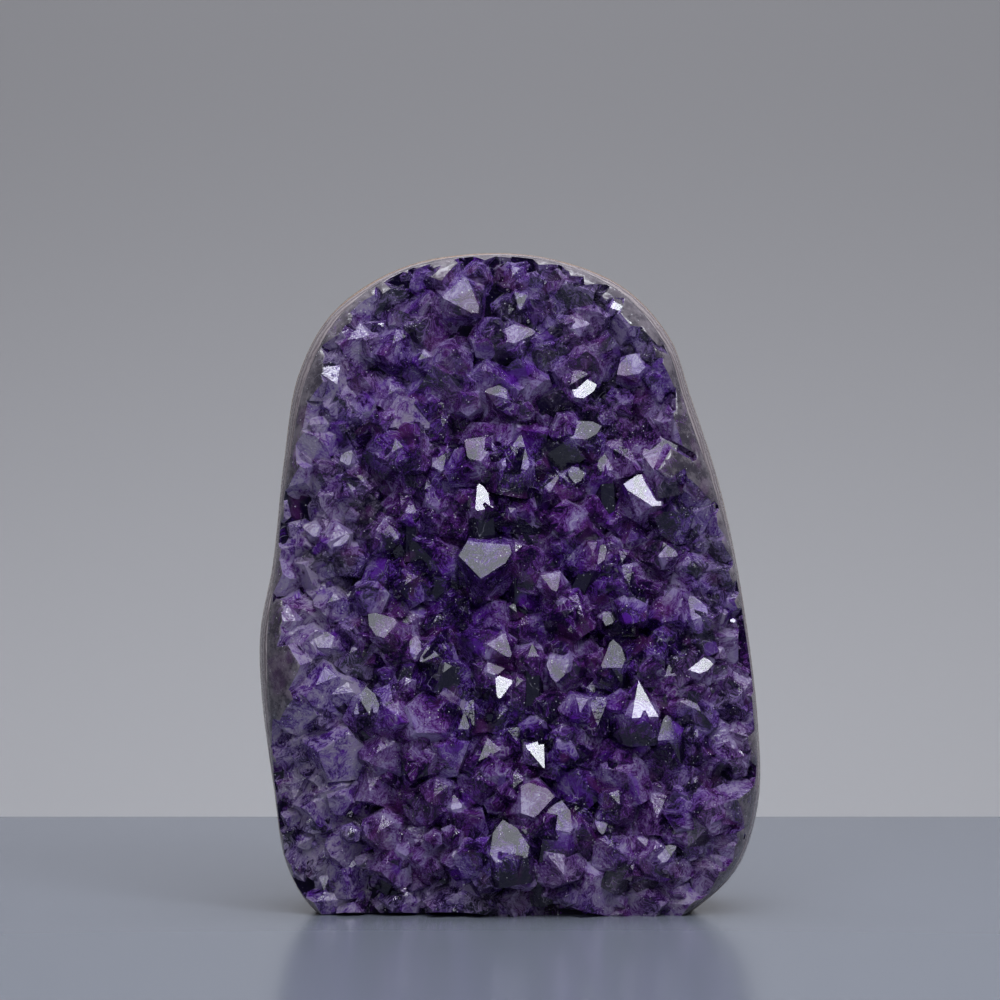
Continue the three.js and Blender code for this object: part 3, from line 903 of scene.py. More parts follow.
    points: tuple[PointSpec, ...] = (
        (-26.4, 104.1, 2.4, 6), (-4, 104.1, 2.4, 6), (6.2, 102.2, 3.1, 6), (14.3, 102.2, 4.9, 7),
        (-8.4, 94, 2.6, 6), (-10.4, 102.2, 4, 7), (-23.5, 88.5, 5, 8), (-35, 81.2, 4, 6),
        (-36.5, 88.5, 1.9, 5), (-19.6, 79.9, 3.5, 6), (-35, 75.3, 4.4, 6), (-31.3, 64.1, 3.3, 6),
        (-37.7, 62.8, 3.7, 5), (20.3, 59.2, 6.2, 8), (-27.5, 57.2, 3.8, 7), (-20, 57.7, 3.3, 7),
        (-29.3, 50.6, 4, 7), (-34.8, 54.6, 3.1, 6), (10.6, 52.6, 4.9, 8), (-14, 39.5, 5, 8),
        (-35, 33.2, 4.6, 6), (-36.1, 22.7, 4.5, 6), (-25.8, 26.4, 4.4, 7), (-25.3, 11.9, 3.7, 7),
        (-30, 12.6, 1.7, 6), (-14.5, 18.9, 3.3, 7), (-14.5, 11.5, 1.7, 6), (-10.8, 11.9, 2.2, 6),
        (36.4, 27.7, 4.4, 6), (21.3, 16.1, 3.5, 7), (-3.3, 3.5, 3, 7), (2.6, 4, 2.6, 7),
        (10.6, 4.2, 4.4, 8), (35, 49, 4.6, 6), (35.2, 39, 4, 6), (13, 34.4, 3, 7), (29.5, 49.5, 2.4, 6),
        (-23.6, 6, 4.4, 6), (-32, 8.5, 3.4, 5), (23, 5.5, 4.2, 7), (31, 5, 3.8, 6), (-37, 43.5, 3.2, 5),
        (16, 72.5, 3.4, 6), (31, 72.5, 3.6, 6),
    )
    milky_lobes: tuple[LobeSpec, ...] = (
        (-37.6, 38.5, 5.6, 9.5, -0.42), (-35.2, 28.2, 5.8, 9, -0.36), (-38.6, 47.8, 3.6, 6.5, -0.4),
        (-37.4, 17.6, 4.4, 6.5, -0.4), (-20.9, 88.2, 5.6, 7.6, -0.1), (-33.4, 91.5, 4.2, 5.5, -0.4),
        (-31.2, 103.2, 3.8, 5, -0.5), (39.9, 53.5, 3.2, 5, 0.45), (-12.6, 38.2, 5, 7.6, -0.05),
    )

    def on_face(self, x: float, z: float, rise: float) -> Vector:
        """Finds a point of the face from where it is seen.

        Args:
            x: place across as seen from the eye.
            z: height as seen from the eye.
            rise: height over the crystals' feet.

        Returns:
            The real point.
        """
        scale = float(self.pebble.scale_at(x, z))
        hx, hz = self.pebble.heart
        bend = min(scale, 1.0) ** self.pebble.layer_bend
        foot = self.heart_depth + (self.rim_depth - self.heart_depth) * bend
        foot -= self.pebble.band_at(scale, math.atan2(z - hz, x - hx))
        low = min(1.0, max(0.0, (scale - self.rim_from) / self.rim_width))
        y = self.pebble.lean(x, foot - rise * (1 - self.rim_lowering * low), z).y
        along = (y - self.eye.y) / -self.eye.y
        return Vector((self.eye.x + (x - self.eye.x) * along, y, self.eye.z + (z - self.eye.z) * along))

    def pale_at(self, x: float, z: float) -> float:
        """Tells how milky a crystal is at a place, from 0 to 1."""
        return self.milkiness.at(float(self.pebble.scale_at(x, z)), x, z)

    def face_crystals(self, spec: FaceSpec, looks: Looks, draws: Draws) -> list[Crystal]:
        """Makes a crystal that shows one broad face, and the ones that have grown against its foot.

        Args:
            spec: the face.
            looks: where the face looks.
            draws: where the irregularities come from.

        Returns:
            The crystals.
        """
        x, z, size, clock, rise, apex = spec
        least, more = self.rise_limit
        middle = self.on_face(x, z, min(rise, least + more * size))
        turn = math.radians(clock)
        sway = self.face_sway[looks]
        stray = Vector((draws.about(sway), 0, draws.about(sway)))
        normal = (looks.normal() + stray).normalized()
        to_tip = Vector((math.cos(turn), 0, math.sin(turn)))
        to_tip = (to_tip - normal * to_tip.dot(normal)).normalized()
        axis = normal * math.cos(FACE_TILT) + to_tip * math.sin(FACE_TILT)
        pale = self.pale_at(x, z)
        tone = draws.between(0, 1)
        shine = draws.between(*self.face_shine)
        tip = middle + to_tip * (size * self.face_to_tip)
        crystals = [Crystal(tip, axis, normal, size * self.face_girth, tone, pale, apex=apex, shine=shine)]
        across = normal.cross(to_tip)
        habit = self.neighbours
        for around, forward in habit.places:
            swing = math.radians(around + draws.about(habit.turn))
            way = to_tip * math.cos(swing) + across * math.sin(swing)
            other = max(habit.least_size, size) * draws.between(*habit.sizes)
            foot = middle + way * (size * habit.away + other * habit.own_away) + normal * (forward * size)
            lean = Vector((draws.about(habit.lean[0]), -1, draws.about(habit.lean[1])))
            towards = self.quiet_way(lean.normalized(), draws)
            tone, apex = draws.between(0, 1), draws.between(*self.apexes)
            crystals.append(Crystal(foot, lean, towards, other, tone, pale, apex=apex))
        return crystals

    def quiet_way(self, axis: Vector, draws: Draws) -> Vector:
        """Finds where a crystal's first broad face can look so that none of them mirrors a light.

        Args:
            axis: the crystal's long axis, as a unit vector.
            draws: where the first try comes from.

        Returns:
            A direction for the first broad face.
        """
        third = 2 * math.pi / 3
        start = draws.between(0, 2 * math.pi)
        best = (2.0, Vector())
        for number in range(self.quiet_tries):
            spin = start + number * 2 * math.pi / 3 / self.quiet_tries
            towards = Vector((math.cos(spin), 0, math.sin(spin)))
            x = (towards - axis * towards.dot(axis)).normalized()
            y = axis.cross(x)
            normals = []
            for side in range(3):
                out = x * math.cos(side * third) + y * math.sin(side * third)
                normals.append(axis * math.cos(FACE_TILT) + out * math.sin(FACE_TILT))
            glare = max(normal.dot(look.normal()) for normal in normals for look in Looks)
            if glare < best[0]:
                best = (glare, towards)
        return best[1]

    def point_crystal(self, spec: PointSpec, sway: float, draws: Draws) -> Crystal:
        """Makes a crystal that looks outwards.

        Args:
            spec: x and z of the tip, its size and its rise.
            sway: how much the axis may lean at random.
            draws: where the irregularities come from.

        Returns:
            The crystal.
        """
        x, z, size, rise = spec
        hx, hz = self.pebble.heart
        tip = self.on_face(x, z, rise)
        lean_x = (x - hx) / self.splay[0] + draws.about(sway)
        lean_z = (z - hz) / self.splay[1] + draws.about(sway)
        axis = Vector((lean_x, -1, lean_z))
        towards = self.quiet_way(axis.normalized(), draws)
        tone, apex = draws.between(0, 1), draws.between(*self.apexes)
        return Crystal(tip, axis, towards, size, tone, self.pale_at(x, z), apex=apex)

    def milky_crystal(self, spec: LobeSpec, draws: Draws) -> Crystal:
        """Makes one of the large milky crystals, most of them ground smooth by the polish of the rim.

        Args:
            spec: x and z of the tip, its size, its rise, and how far it leans to the right.
            draws: where the irregularities come from.

        Returns:
            The crystal.
        """
        x, z, size, rise, lean_x = spec
        axis = Vector((lean_x, -1, draws.about(self.milky_lean)))
        towards = self.quiet_way(axis.normalized(), draws)
        tip = self.on_face(x, z, rise)
        return Crystal(tip, axis, towards, size, 1.0, draws.between(*self.milky_pale), apex=1.0)

    def fill_crystals(self, filling: Filling, draws: Draws) -> list[Crystal]:
        """Fills the room between the placed crystals.

        Args:
            filling: how closely, and with what sizes.
            draws: where the places and sizes come from.

        Returns:
            The crystals.
        """
        known = (*self.spark_faces, *self.light_faces, *self.dull_faces, *self.points)
        placed = [spec[:3] for spec in known]
        found = []
        row_step = filling.step * math.sin(math.pi / 3)
        columns = math.ceil(self.fill_half_width / filling.step)
        stray = filling.step * self.fill_stray
        for row in range(int((self.pebble.height + self.fill_over_top) / row_step) + 1):
            for column in range(-columns, columns + 1):
                x = (column + (row % 2) / 2) * filling.step + draws.about(stray)
                z = row * row_step + draws.about(stray)
                size = draws.between(*filling.sizes)
                rise = draws.between(*filling.rises)
                if self.pebble.scale_at(x, z) > self.fill_to:
                    continue
                free = all(
                    math.hypot(px - x, pz - z) > filling.clearance * (other + size)
                    for px, pz, other in placed
                )
                if free:
                    found.append(self.point_crystal((x, z, size, rise), self.fill_lean, draws))
        return found

    def main_crystals(self) -> list[Crystal]:
        """Lists the placed crystals and the ones that fill between them."""
        draws = Draws(self.crystal_seed)
        crystals = []
        for specs, looks in zip((self.spark_faces, self.light_faces, self.dull_faces), Looks):
            for spec in specs:
                crystals += self.face_crystals(spec, looks, draws)
        crystals += [self.point_crystal(spec, self.point_lean, draws) for spec in self.points]
        crystals += [self.milky_crystal(spec, draws) for spec in self.milky_lobes]
        for filling in self.fillings:
            crystals += self.fill_crystals(filling, draws)
        return crystals

    @staticmethod
    def collection_of(name: str, crystals: Sequence[Crystal], draws: Draws) -> bpy.types.Collection:
        """Puts crystals into a collection of their own.

        Args:
            name: the collection's name.
            crystals: the crystals.
            draws: where the irregularities come from.

        Returns:
            The collection.
        """
        collection = bpy.data.collections.new(name)
        bpy.context.scene.collection.children.link(collection)
        for index, crystal in enumerate(crystals):
            part = f"{name}_{index}"
            new_object(part, crystal.mesh(part, draws), collection)
        return collection

    def seedlings(self) -> bpy.types.Collection:
        """Makes the forms of the smallest crystals, each with its tip a little above the origin."""
        draws = Draws(self.seedling_seed)
        young = self.young
        forms = []
        for _ in range(young.forms):
            lean = Vector((draws.about(young.lean), draws.about(young.lean), 1))
            spin = draws.between(0, math.pi)
            tip = Vector((0, 0, draws.between(*young.tips)))
            towards = Vector((math.cos(spin), math.sin(spin), 0))
            size, tone, pale = (draws.between(*span) for span in (young.girths, (0, 1), young.pale))
            forms.append(Crystal(tip, lean, towards, size, tone, pale, stem=young.stem, rooted=False))
        return self.collection_of("seedling", forms, draws)

    def growth_tree(self, mains: bpy.types.Collection, seedlings: bpy.types.Collection,
                    pebble: bpy.types.Object, finish: bpy.types.Material) -> bpy.types.NodeTree:
        """Builds the node tree that grows the crystals on the crust and fuses them.

        Args:
            mains: the larger crystals.
            seedlings: the forms of the smallest ones.
            pebble: the polished form that ends them all.
            finish: the material of all of them.

        Returns:
            The node tree.
        """
        wires = start_growth("crystal_growth", ("Density", "Smallest", "Largest", "Valley Rise"))
        given = wires.add("NodeGroupInput").outputs
        fused = self.boolean(wires, "UNION", given["Geometry"], wires.members(mains))
        whole = wires.add("GeometryNodeObjectInfo", {"Object": pebble})
        trimmed = self.boolean(wires, "INTERSECT", fused, whole.outputs["Geometry"])
        scatter = wires.add("GeometryNodeDistributePointsOnFaces", {
            "Mesh": trimmed, "Selection": self.in_valleys(wires, given["Valley Rise"]),
            "Density": given["Density"], "Seed": given["Seed"],
        })
        young = self.young
        outwards = wires.add("ShaderNodeVectorMath", {
            0: scatter.outputs["Normal"], 1: (young.outward,) * 3, 2: (0, -young.forward, 0),
        }, operation="MULTIPLY_ADD")
        swaying = wires.add("FunctionNodeRandomValue", {
            0: (-young.sway,) * 3, 1: (young.sway,) * 3, "Seed": given["Seed"],
        }, data_type="FLOAT_VECTOR")
        leaning = wires.vector("ADD", outwards.outputs[0], swaying.outputs[0])
        turned = wires.add("FunctionNodeAlignRotationToVector", {"Vector": leaning.outputs[0]}, axis="Z")
        size = wires.add("FunctionNodeRandomValue", {
            2: given["Smallest"], 3: given["Largest"], "Seed": given["Seed"],
        })
        placed = wires.add("GeometryNodeInstanceOnPoints", {
            "Points": scatter.outputs["Points"], "Instance": wires.members(seedlings),
            "Pick Instance": True, "Rotation": turned.outputs[0], "Scale": size.outputs[1],
        })
        wires.dress(self.boolean(wires, "UNION", trimmed, placed.outputs[0]), finish)
        return wires.tree

    @staticmethod
    def boolean(wires: Wires, operation: str, first: bpy.types.NodeSocket,
                second: bpy.types.NodeSocket) -> bpy.types.NodeSocket:
        """Joins two sets of solids by UNION, or keeps what they share by INTERSECT."""
        node = wires.add("GeometryNodeMeshBoolean", operation=operation, solver="MANIFOLD")
        for solids in (first, second):
            wires.tree.links.new(solids, node.inputs["Mesh 2"])
        return node.outputs["Mesh"]

    def in_valleys(self, wires: Wires, limit: bpy.types.NodeSocket) -> bpy.types.NodeSocket:
        """Selects the low ground between the larger crystals.

        Args:
            wires: the tree.
            limit: how far over the crust the valleys reach, in millimetres.

        Returns:
            The selection's socket.
        """
        form = self.pebble
        position = wires.add("GeometryNodeInputPosition").outputs[0]
        depth = wires.wall_depth(position, form)
        place = wires.add("ShaderNodeSeparateXYZ", {0: position}).outputs
        half_width, half_height = self.young.valley_oval
        across = wires.math("DIVIDE", place[0], half_width * MM)
        up = wires.math("DIVIDE", wires.minus(place[2], form.heart[1] * MM), half_height * MM)
        square = wires.plus(wires.times(across, across), wires.times(up, up))
        bend = wires.times(wires.times(square, square), (self.rim_depth - self.heart_depth) * MM)
        foot = wires.plus(bend, self.heart_depth * MM)
        low = wires.math("GREATER_THAN", depth, wires.minus(foot, wires.times(limit, MM)))
        normal = wires.add("GeometryNodeInputNormal").outputs[0]
        facing = wires.add("ShaderNodeSeparateXYZ", {0: normal}).outputs[1]
        forward = wires.math("LESS_THAN", facing, self.young.least_slope)
        rough = wires.math("LESS_THAN", wires.stored("polish"), 0.5)
        return wires.times(wires.times(low, forward), rough)

    def build(self, pebble: bpy.types.Object, block: bpy.types.Object,
              finish: bpy.types.Material) -> bpy.types.Object:
        """Grows the crust and cuts it to the pebble.

        Args:
            pebble: the polished pebble, already sawn and chipped.
            block: everything behind the rock's face.
            finish: the crystals' material.

        Returns:
            The crystals, as one solid.
        """
        crust = self.pebble.crust(self.crust_heart, self.crust_rim)
        nothing = {name: 0.0 for name in ("tone", "pale", "facet", "girth", "polish")}
        nothing |= {name: Vector() for name in ("apex_at", "points_to")}
        for name, value in nothing.items():
            mark_faces(crust, name, [value] * len(crust.polygons))
        druse = new_object("amethyst_points", crust)
        mains = self.collection_of("point", self.main_crystals(), Draws(self.form_seed))
        grow(druse, self.growth_tree(mains, self.seedlings(), pebble, finish), {
            "Density": self.young.density / MM**2, "Smallest": self.young.scale[0],
            "Largest": self.young.scale[1], "Valley Rise": self.young.valley_rise,
            "Seed": self.scatter_seed,
        })
        log.info("%s grew to %d faces", druse.name, len(druse.data.polygons))
        carve(druse, "INTERSECT", [pebble])
        carve(druse, "DIFFERENCE", [block])
        finish_solid(druse, finish)
        return druse


@dataclass
class Rock:
    """The matrix: basalt and agate behind the crystals. Sizes are in millimetres.

    The pockets give x and z of each large gas pocket and its radius. Most of the small bubbles are small
    ones, the more so the higher the bias is.
    """

    pebble: Pebble
    pockets: tuple[Place, ...] = (
        (-14, 92, 2.6), (12, 97, 2.2), (20, 78, 3.2), (-22, 66, 2.4), (3, 58, 2.8), (26, 46, 2.2),
        (-17, 38, 3), (15, 27, 2.6), (-29, 20, 2.1), (1, 14, 2),
    )
    pocket_depth: float = 0.45
    pocket_smoothness: int = 4
    bubble_density: float = 0.03
    bubble_size: Point = (0.25, 0.95)
    bubble_bias: float = 2.5
    bubble_smoothness: int = 2
    bubbles_from: float = 6
    bubble_seed: int = 11

    def pocket_places(self) -> bpy.types.Object:
        """Makes a point for each large gas pocket, with its radius."""
        form = self.pebble
        places = []
        for x, z, radius in self.pockets:
            scale = float(form.scale_at(x, z))
            depth = form.back_depth * (1 - scale**form.back_roundness) ** (1 / form.back_roundness)
            places.append(form.lean(x, depth, z) + Vector((0, radius * self.pocket_depth, 0)))
        mesh = new_mesh("pockets", places, [])
        layer = mesh.attributes.new("radius", "FLOAT", "POINT")
        layer.data.foreach_set("value", [radius * MM for _, _, radius in self.pockets])
        return new_object("pockets", mesh)

    def bubble_tree(self, places: bpy.types.Object, finish: bpy.types.Material) -> bpy.types.NodeTree:
        """Builds the node tree that opens the gas pockets and the small bubbles in the back.

        Args:
            places: the large pockets' middles, with their radii.
            finish: the rock's material.

        Returns:
            The node tree.
        """
        wires = start_growth("gas_bubbles", ("Density", "Smallest", "Largest", "From Depth"))
        given = wires.add("NodeGroupInput").outputs
        depth = wires.wall_depth(wires.add("GeometryNodeInputPosition").outputs[0], self.pebble)
        behind = wires.math("GREATER_THAN", depth, given["From Depth"])
        scatter = wires.add("GeometryNodeDistributePointsOnFaces", {
            "Mesh": given["Geometry"], "Selection": behind, "Density": given["Density"],
            "Seed": given["Seed"],
        })
        drawn = wires.add("FunctionNodeRandomValue", {2: 0.0, 3: 1.0, "Seed": given["Seed"]}).outputs[1]
        share = wires.math("POWER", drawn, self.bubble_bias)
        range_of_sizes = wires.minus(given["Largest"], given["Smallest"])
        size = wires.plus(given["Smallest"], wires.times(share, range_of_sizes))
        small, large = (
            wires.add("GeometryNodeMeshIcoSphere", {"Radius": 1.0, "Subdivisions": smoothness}).outputs[0]
            for smoothness in (self.bubble_smoothness, self.pocket_smoothness)
        )
        middles = wires.add("GeometryNodeObjectInfo", {"Object": places}).outputs["Geometry"]
        cut = wires.add("GeometryNodeMeshBoolean", {"Mesh 1": given["Geometry"]},
                        operation="DIFFERENCE", solver="MANIFOLD")
        bubbles = {"Points": scatter.outputs["Points"], "Instance": small, "Scale": size}
        pockets = {"Points": middles, "Instance": large, "Scale": wires.stored("radius")}
        for holes in (bubbles, pockets):
            balls = wires.add("GeometryNodeInstanceOnPoints", holes)
            wires.tree.links.new(balls.outputs[0], cut.inputs["Mesh 2"])
        wires.dress(cut.outputs["Mesh"], finish)
        return wires.tree

    def build(self, pebble: bpy.types.Object, block: bpy.types.Object,
              finish: bpy.types.Material) -> bpy.types.Object:
        """Makes the rock.

        Args:
            pebble: the polished pebble, already sawn and chipped.
            block: everything behind the rock's face.
            finish: the rock's material.

        Returns:
            The rock, as one solid.
        """
        rock = new_object("rock", pebble.data.copy())
        carve(rock, "INTERSECT", [block])
        places = self.pocket_places()
        grow(rock, self.bubble_tree(places, finish), {
            "Density": self.bubble_density / MM**2, "Smallest": self.bubble_size[0] * MM,
            "Largest": self.bubble_size[1] * MM, "From Depth": self.bubbles_from * MM,
            "Seed": self.bubble_seed,
        })
        bpy.data.objects.remove(places)
        finish_solid(rock, finish)
        return rock


def start_material(name: str) -> tuple[bpy.types.Material, Wires, bpy.types.Node]:
    """Starts a material with a Principled shader, and gives it, its wires and the shader."""
    material = bpy.data.materials.new(name)
    material.use_nodes = True
    shader = material.node_tree.nodes["Principled BSDF"]
    return material, Wires(material.node_tree), shader


@dataclass(frozen=True)
class WornPolish:
    """What rock and quartz share: the depth in the geode's wall, and fine wear of the polish."""

    coarse: Pattern = (55, 2)
    fine: Pattern = (420, 1)
    fine_share: float = 0.35
    middle: float = 0.67
    smears: Pattern = (900, 3, 0.75)
    smear_range: Point = (0.42, 0.75)

    def group(self, form: Pebble) -> bpy.types.ShaderNodeTree:
        """Builds the node group.

        Args:
            form: the pebble that the depth is measured in.

        Returns:
            The group, with a depth in millimetres and a roughness to add.
        """
        group = bpy.data.node_groups.new("worn_polish", "ShaderNodeTree")
        group.interface.new_socket("Place", in_out="INPUT", socket_type="NodeSocketVector")
        numbers = {"Wobble": "INPUT", "Wear": "INPUT", "Depth": "OUTPUT", "Roughness": "OUTPUT"}
        for name, way in numbers.items():
            group.interface.new_socket(name, in_out=way, socket_type="NodeSocketFloat")
        wires = Wires(group)
        given = wires.add("NodeGroupInput").outputs
        place = given["Place"]
        depth = wires.math("DIVIDE", wires.wall_depth(place, form), MM)
        waves = wires.plus(wires.noise(place, *self.coarse),
                           wires.times(wires.noise(place, *self.fine), self.fine_share))
        depth = wires.plus(depth, wires.times(wires.minus(waves, self.middle), given["Wobble"]))
        smears = wires.spread(wires.noise(place, *self.smears), *self.smear_range)
        wires.add("NodeGroupOutput", {"Depth": depth, "Roughness": wires.times(smears, given["Wear"])})
        return group


@dataclass(frozen=True)
class QuartzFinish:
    """The look of the crystals: clear deep violet with wisps, healed cracks and milky places in it, with
    painted
    light as well: a painted glow in some patches, painted white glints, and painted shade down each
    crystal's stem.

    A pattern is a noise: how fine it is, how many finer layers it has and how strong they are. A range is
    where an effect begins and where it is whole. A span is a range, and what its two ends become. The
    weights are those of clouds, grain, tone, paleness, shoulder, stem and bare face; the negative stem
    weight is painted shade, which darkens the valleys between the crystals.
    """

    wall: bpy.types.ShaderNodeTree
    wobble: float = 1.4
    wear: float = 0.12
    deep: Colour = (0.006, 0.001, 0.03, 1)
    violet: Colour = (0.15, 0.032, 0.45, 1)
    purple: Colour = (0.18, 0.032, 0.34, 1)
    lilac: Colour = (0.53, 0.4, 0.82, 1)
    milk: Colour = (0.78, 0.75, 0.88, 1)
    dusty: Colour = (0.6, 0.5, 0.7, 1)
    rose: Colour = (0.2, 0.035, 0.26, 1)
    # Painted glow: a saturated violet that stands in for light leaving the crystals' edges.
    painted_glow: Colour = (0.2, 0.02, 0.62, 1)
    sheared: Colour = (0.62, 0.54, 0.6, 1)
    # Painted glints: the colour of the near-white dots that stand in for sparkles of light.
    painted_glint: Colour = (0.95, 0.93, 1, 1)
    absorbed: Colour = (0.4, 0.1, 0.72, 1)
    density: float = 450
    transmission: float = 0.5
    refraction: float = 1.544
    smallest_girth: float = 1e-5
    shoulder_begins: Point = (0.5, 1.2)
    shoulder_ends: Span = (1.3, 2.1, 1, 0)
    # Painted shade: where below the apex the darkened stem begins and where it is whole, in girths.
    stem_painted_shade_range: Point = (1.5, 3.2)
    drift_fineness: float = 260
    drift_reach: float = 0.006
    clouds: Pattern = (330, 3, 0.65)
    drifts: Pattern = (75, 1)
    drift_share: float = 0.55
    grain: Pattern = (1900, 3, 0.8)
    bare_faces: Span = (0.05, 0.25, 1, 0)
    # The stem weight is negative: painted shade that darkens the lower stretch of each crystal, where the
    # valleys between crystals lie.
    weights: tuple[float, ...] = (0.95, 0.9, 0.16, 0.16, 0.18, -0.25, -0.06)
    purple_range: Point = (0.4, 0.6)
    violet_range: Point = (0.72, 0.98)
    lilac_range: Point = (0.92, 1.24)
    patches: Pattern = (190, 1)
    rose_span: Span = (0.58, 0.7, 0, 0.45)
    # Painted glow: where its patches lie, on which crystals, and how strong it is at most.
    painted_glow_range: Point = (0.42, 0.32)
    painted_glow_tones: Point = (0.4, 0.75)
    painted_glow_most: float = 0.6
    veil_fineness: float = 420
    veil_span: Span = (0.0, 0.045, 1, 0)
    veil_clouds: Point = (0.5, 0.62)
    veil_most: float = 0.5
    wisp_grain: float = 0.8
    wisp_range: Point = (0.36, 0.7)
    frost: Pattern = (3400, 1)
    frost_range: Point = (0.56, 0.7)
    frost_on_shoulder: float = 0.35
    frost_anywhere: float = 0.05
    sheared_clouds: Pattern = (300, 4, 0.75)
    sheared_range: Point = (0.4, 0.66)
    sheared_most: float = 0.42
    near_rock: Span = (-15, -8.5, 0.15, 0.55)
    # Painted glints: how many places for a dot lie in a metre, the largest dot's reach, and the share of
    # places left bare.
    painted_glints: tuple[float, float, float] = (2600, 0.4, 0.93)
    roughness: Span = (0.5, 0.95, 0.03, 0.2)
    ground_roughness: float = 0.14
    uneven: Pattern = (800, 2, 0.9)
    uneven_faces: Span = (0.15, 1.0, 0.0, 0.75)
    uneven_height: float = 0.0006

    def shoulder(self, wires: Wires, place: bpy.types.NodeSocket) -> tuple[bpy.types.NodeSocket, ...]:
        """Finds the frosted shoulder of each crystal and the stretch below it.

        Args:
            wires: the material's nodes.
            place: where on the object.

        Returns:
            How far a place belongs to the shoulder, and how far to the stem below it; the stem share
            darkens the colour as painted shade.
        """
        girth = wires.read("girth")
        below = wires.vector("SUBTRACT", wires.read("apex_at", "Vector"), place).outputs[0]
        below = wires.vector("DOT_PRODUCT", below, wires.read("points_to", "Vector")).outputs[1]
        along = wires.math("DIVIDE", below, wires.math("MAXIMUM", girth, self.smallest_girth))
        whole = wires.math("GREATER_THAN", girth, self.smallest_girth)
        rising = wires.spread(along, *self.shoulder_begins)
        frosted = wires.times(rising, wires.spread(along, *self.shoulder_ends))
        return wires.times(frosted, whole), wires.times(wires.spread(along, *self.stem_painted_shade_range), whole)

    def inside(self, wires: Wires, place: bpy.types.NodeSocket) -> bpy.types.NodeSocket:
        """Mixes the colour seen inside the crystals, with painted light in it: a painted glow in some
        patches and painted shade down each crystal's stem.

        Args:
            wires: the material's nodes.
            place: where on the object.

        Returns:
            The colour.
        """
        tone, pale = wires.read("tone"), wires.read("pale")
        drift = wires.add("ShaderNodeTexNoise", {
            "Vector": place, "Scale": self.drift_fineness, "Detail": 1.0,
        })
        pull = wires.vector("ADD", drift.outputs["Color"], (-0.5, -0.5, -0.5)).outputs[0]
        pull = wires.add("ShaderNodeVectorMath", {0: pull, "Scale": self.drift_reach}, operation="SCALE")
        bent = wires.vector("ADD", place, pull.outputs[0]).outputs[0]
        frosted, stem = self.shoulder(wires, place)
        clouds = wires.noise(bent, *self.clouds)
        drifts = wires.noise(place, *self.drifts)
        grain = wires.minus(wires.noise(bent, *self.grain), 0.5)
        bare = wires.spread(wires.read("facet"), *self.bare_faces)
        body = wires.times(drifts, self.drift_share)
        # The stem term is painted shade: below the shoulder it pulls each crystal towards the deep colour,
        # as if the valleys were in shadow.
        for value, weight in zip((clouds, grain, tone, pale, frosted, stem, bare), self.weights):
            body = wires.plus(body, wires.times(value, weight))
        colour = wires.mix(wires.spread(drifts, *self.purple_range), self.violet, self.purple)
        colour = wires.mix(wires.spread(body, *self.violet_range), self.deep, colour)
        colour = wires.mix(wires.spread(body, *self.lilac_range), colour, self.lilac)
        patches = wires.noise(place, *self.patches)
        colour = wires.mix(wires.spread(patches, *self.rose_span), colour, self.rose)
        # Painted glow: saturated violet patches on some crystals stand in for light leaving their edges;
        # the quartz has no such colour.
        painted_glow_share = wires.times(wires.spread(patches, *self.painted_glow_range), wires.spread(tone, *self.painted_glow_tones))
        colour = wires.mix(wires.times(painted_glow_share, self.painted_glow_most), colour, self.painted_glow)
        veils = wires.add("ShaderNodeTexVoronoi", {"Vector": bent, "Scale": self.veil_fineness},
                          feature="DISTANCE_TO_EDGE")
        veil = wires.spread(veils.outputs["Distance"], *self.veil_span)
        veil = wires.times(veil, wires.spread(clouds, *self.veil_clouds))
        colour = wires.mix(wires.times(veil, self.veil_most), colour, self.milk)
        wisps = wires.plus(clouds, wires.times(grain, self.wisp_grain))
        colour = wires.mix(wires.times(wires.spread(wisps, *self.wisp_range), pale), colour, self.dusty)
        frost = wires.spread(wires.noise(place, *self.frost), *self.frost_range)
        most = wires.plus(wires.times(frosted, self.frost_on_shoulder), self.frost_anywhere)
        return wires.mix(wires.times(frost, most), colour, self.milk)

    def ground_smooth(self, wires: Wires, place: bpy.types.NodeSocket, depth: bpy.types.NodeSocket,
                      inside: bpy.types.NodeSocket) -> bpy.types.NodeSocket:
        """Mixes the colour of the crystals cut through by the polish of the rim.

        Args:
            wires: the material's nodes.
            place: where on the object.
            depth: depth in the geode's wall, in millimetres.
            inside: the colour of an uncut crystal.

        Returns:
            The colour.
        """
        cloud = wires.spread(wires.noise(place, *self.sheared_clouds), *self.sheared_range)
        share = wires.plus(wires.spread(depth, *self.near_rock), wires.times(cloud, self.sheared_most))
        return wires.mix(share, inside, self.sheared)

    def material(self) -> bpy.types.Material:
        """Makes the crystals' material."""
        material, wires, shader = start_material("amethyst")
        place = wires.add("ShaderNodeTexCoord").outputs["Object"]
        inputs = {"Place": place, "Wobble": self.wobble, "Wear": self.wear}
        wall = wires.add("ShaderNodeGroup", inputs, node_tree=self.wall).outputs
        facet, polish = wires.read("facet"), wires.read("polish")
        colour = self.inside(wires, place)
        colour = wires.mix(polish, colour, self.ground_smooth(wires, place, wall["Depth"], colour))
        # Painted glints: scattered near-white dots in the base colour stand in for sparkles of light on the
        # crystals.
        colour = wires.mix(wires.dots(place, *self.painted_glints), colour, self.painted_glint)
        ground = wires.times(polish, wires.plus(wall["Roughness"], self.ground_roughness))
        strength = wires.times(wires.spread(facet, *self.uneven_faces), wires.minus(1.0, polish))
        bump = wires.add("ShaderNodeBump", {
            "Height": wires.noise(place, *self.uneven), "Strength": strength,
            "Distance": self.uneven_height,
        })
        wires.fill(shader, {
            "Base Color": colour, "Roughness": wires.plus(wires.spread(facet, *self.roughness), ground),
            "Normal": bump.outputs[0], "Transmission Weight": self.transmission, "IOR": self.refraction,
        })
        volume = wires.add("ShaderNodeVolumeAbsorption", {"Color": self.absorbed, "Density": self.density})
        wires.fill(material.node_tree.nodes["Material Output"], {"Volume": volume.outputs[0]})
        return material


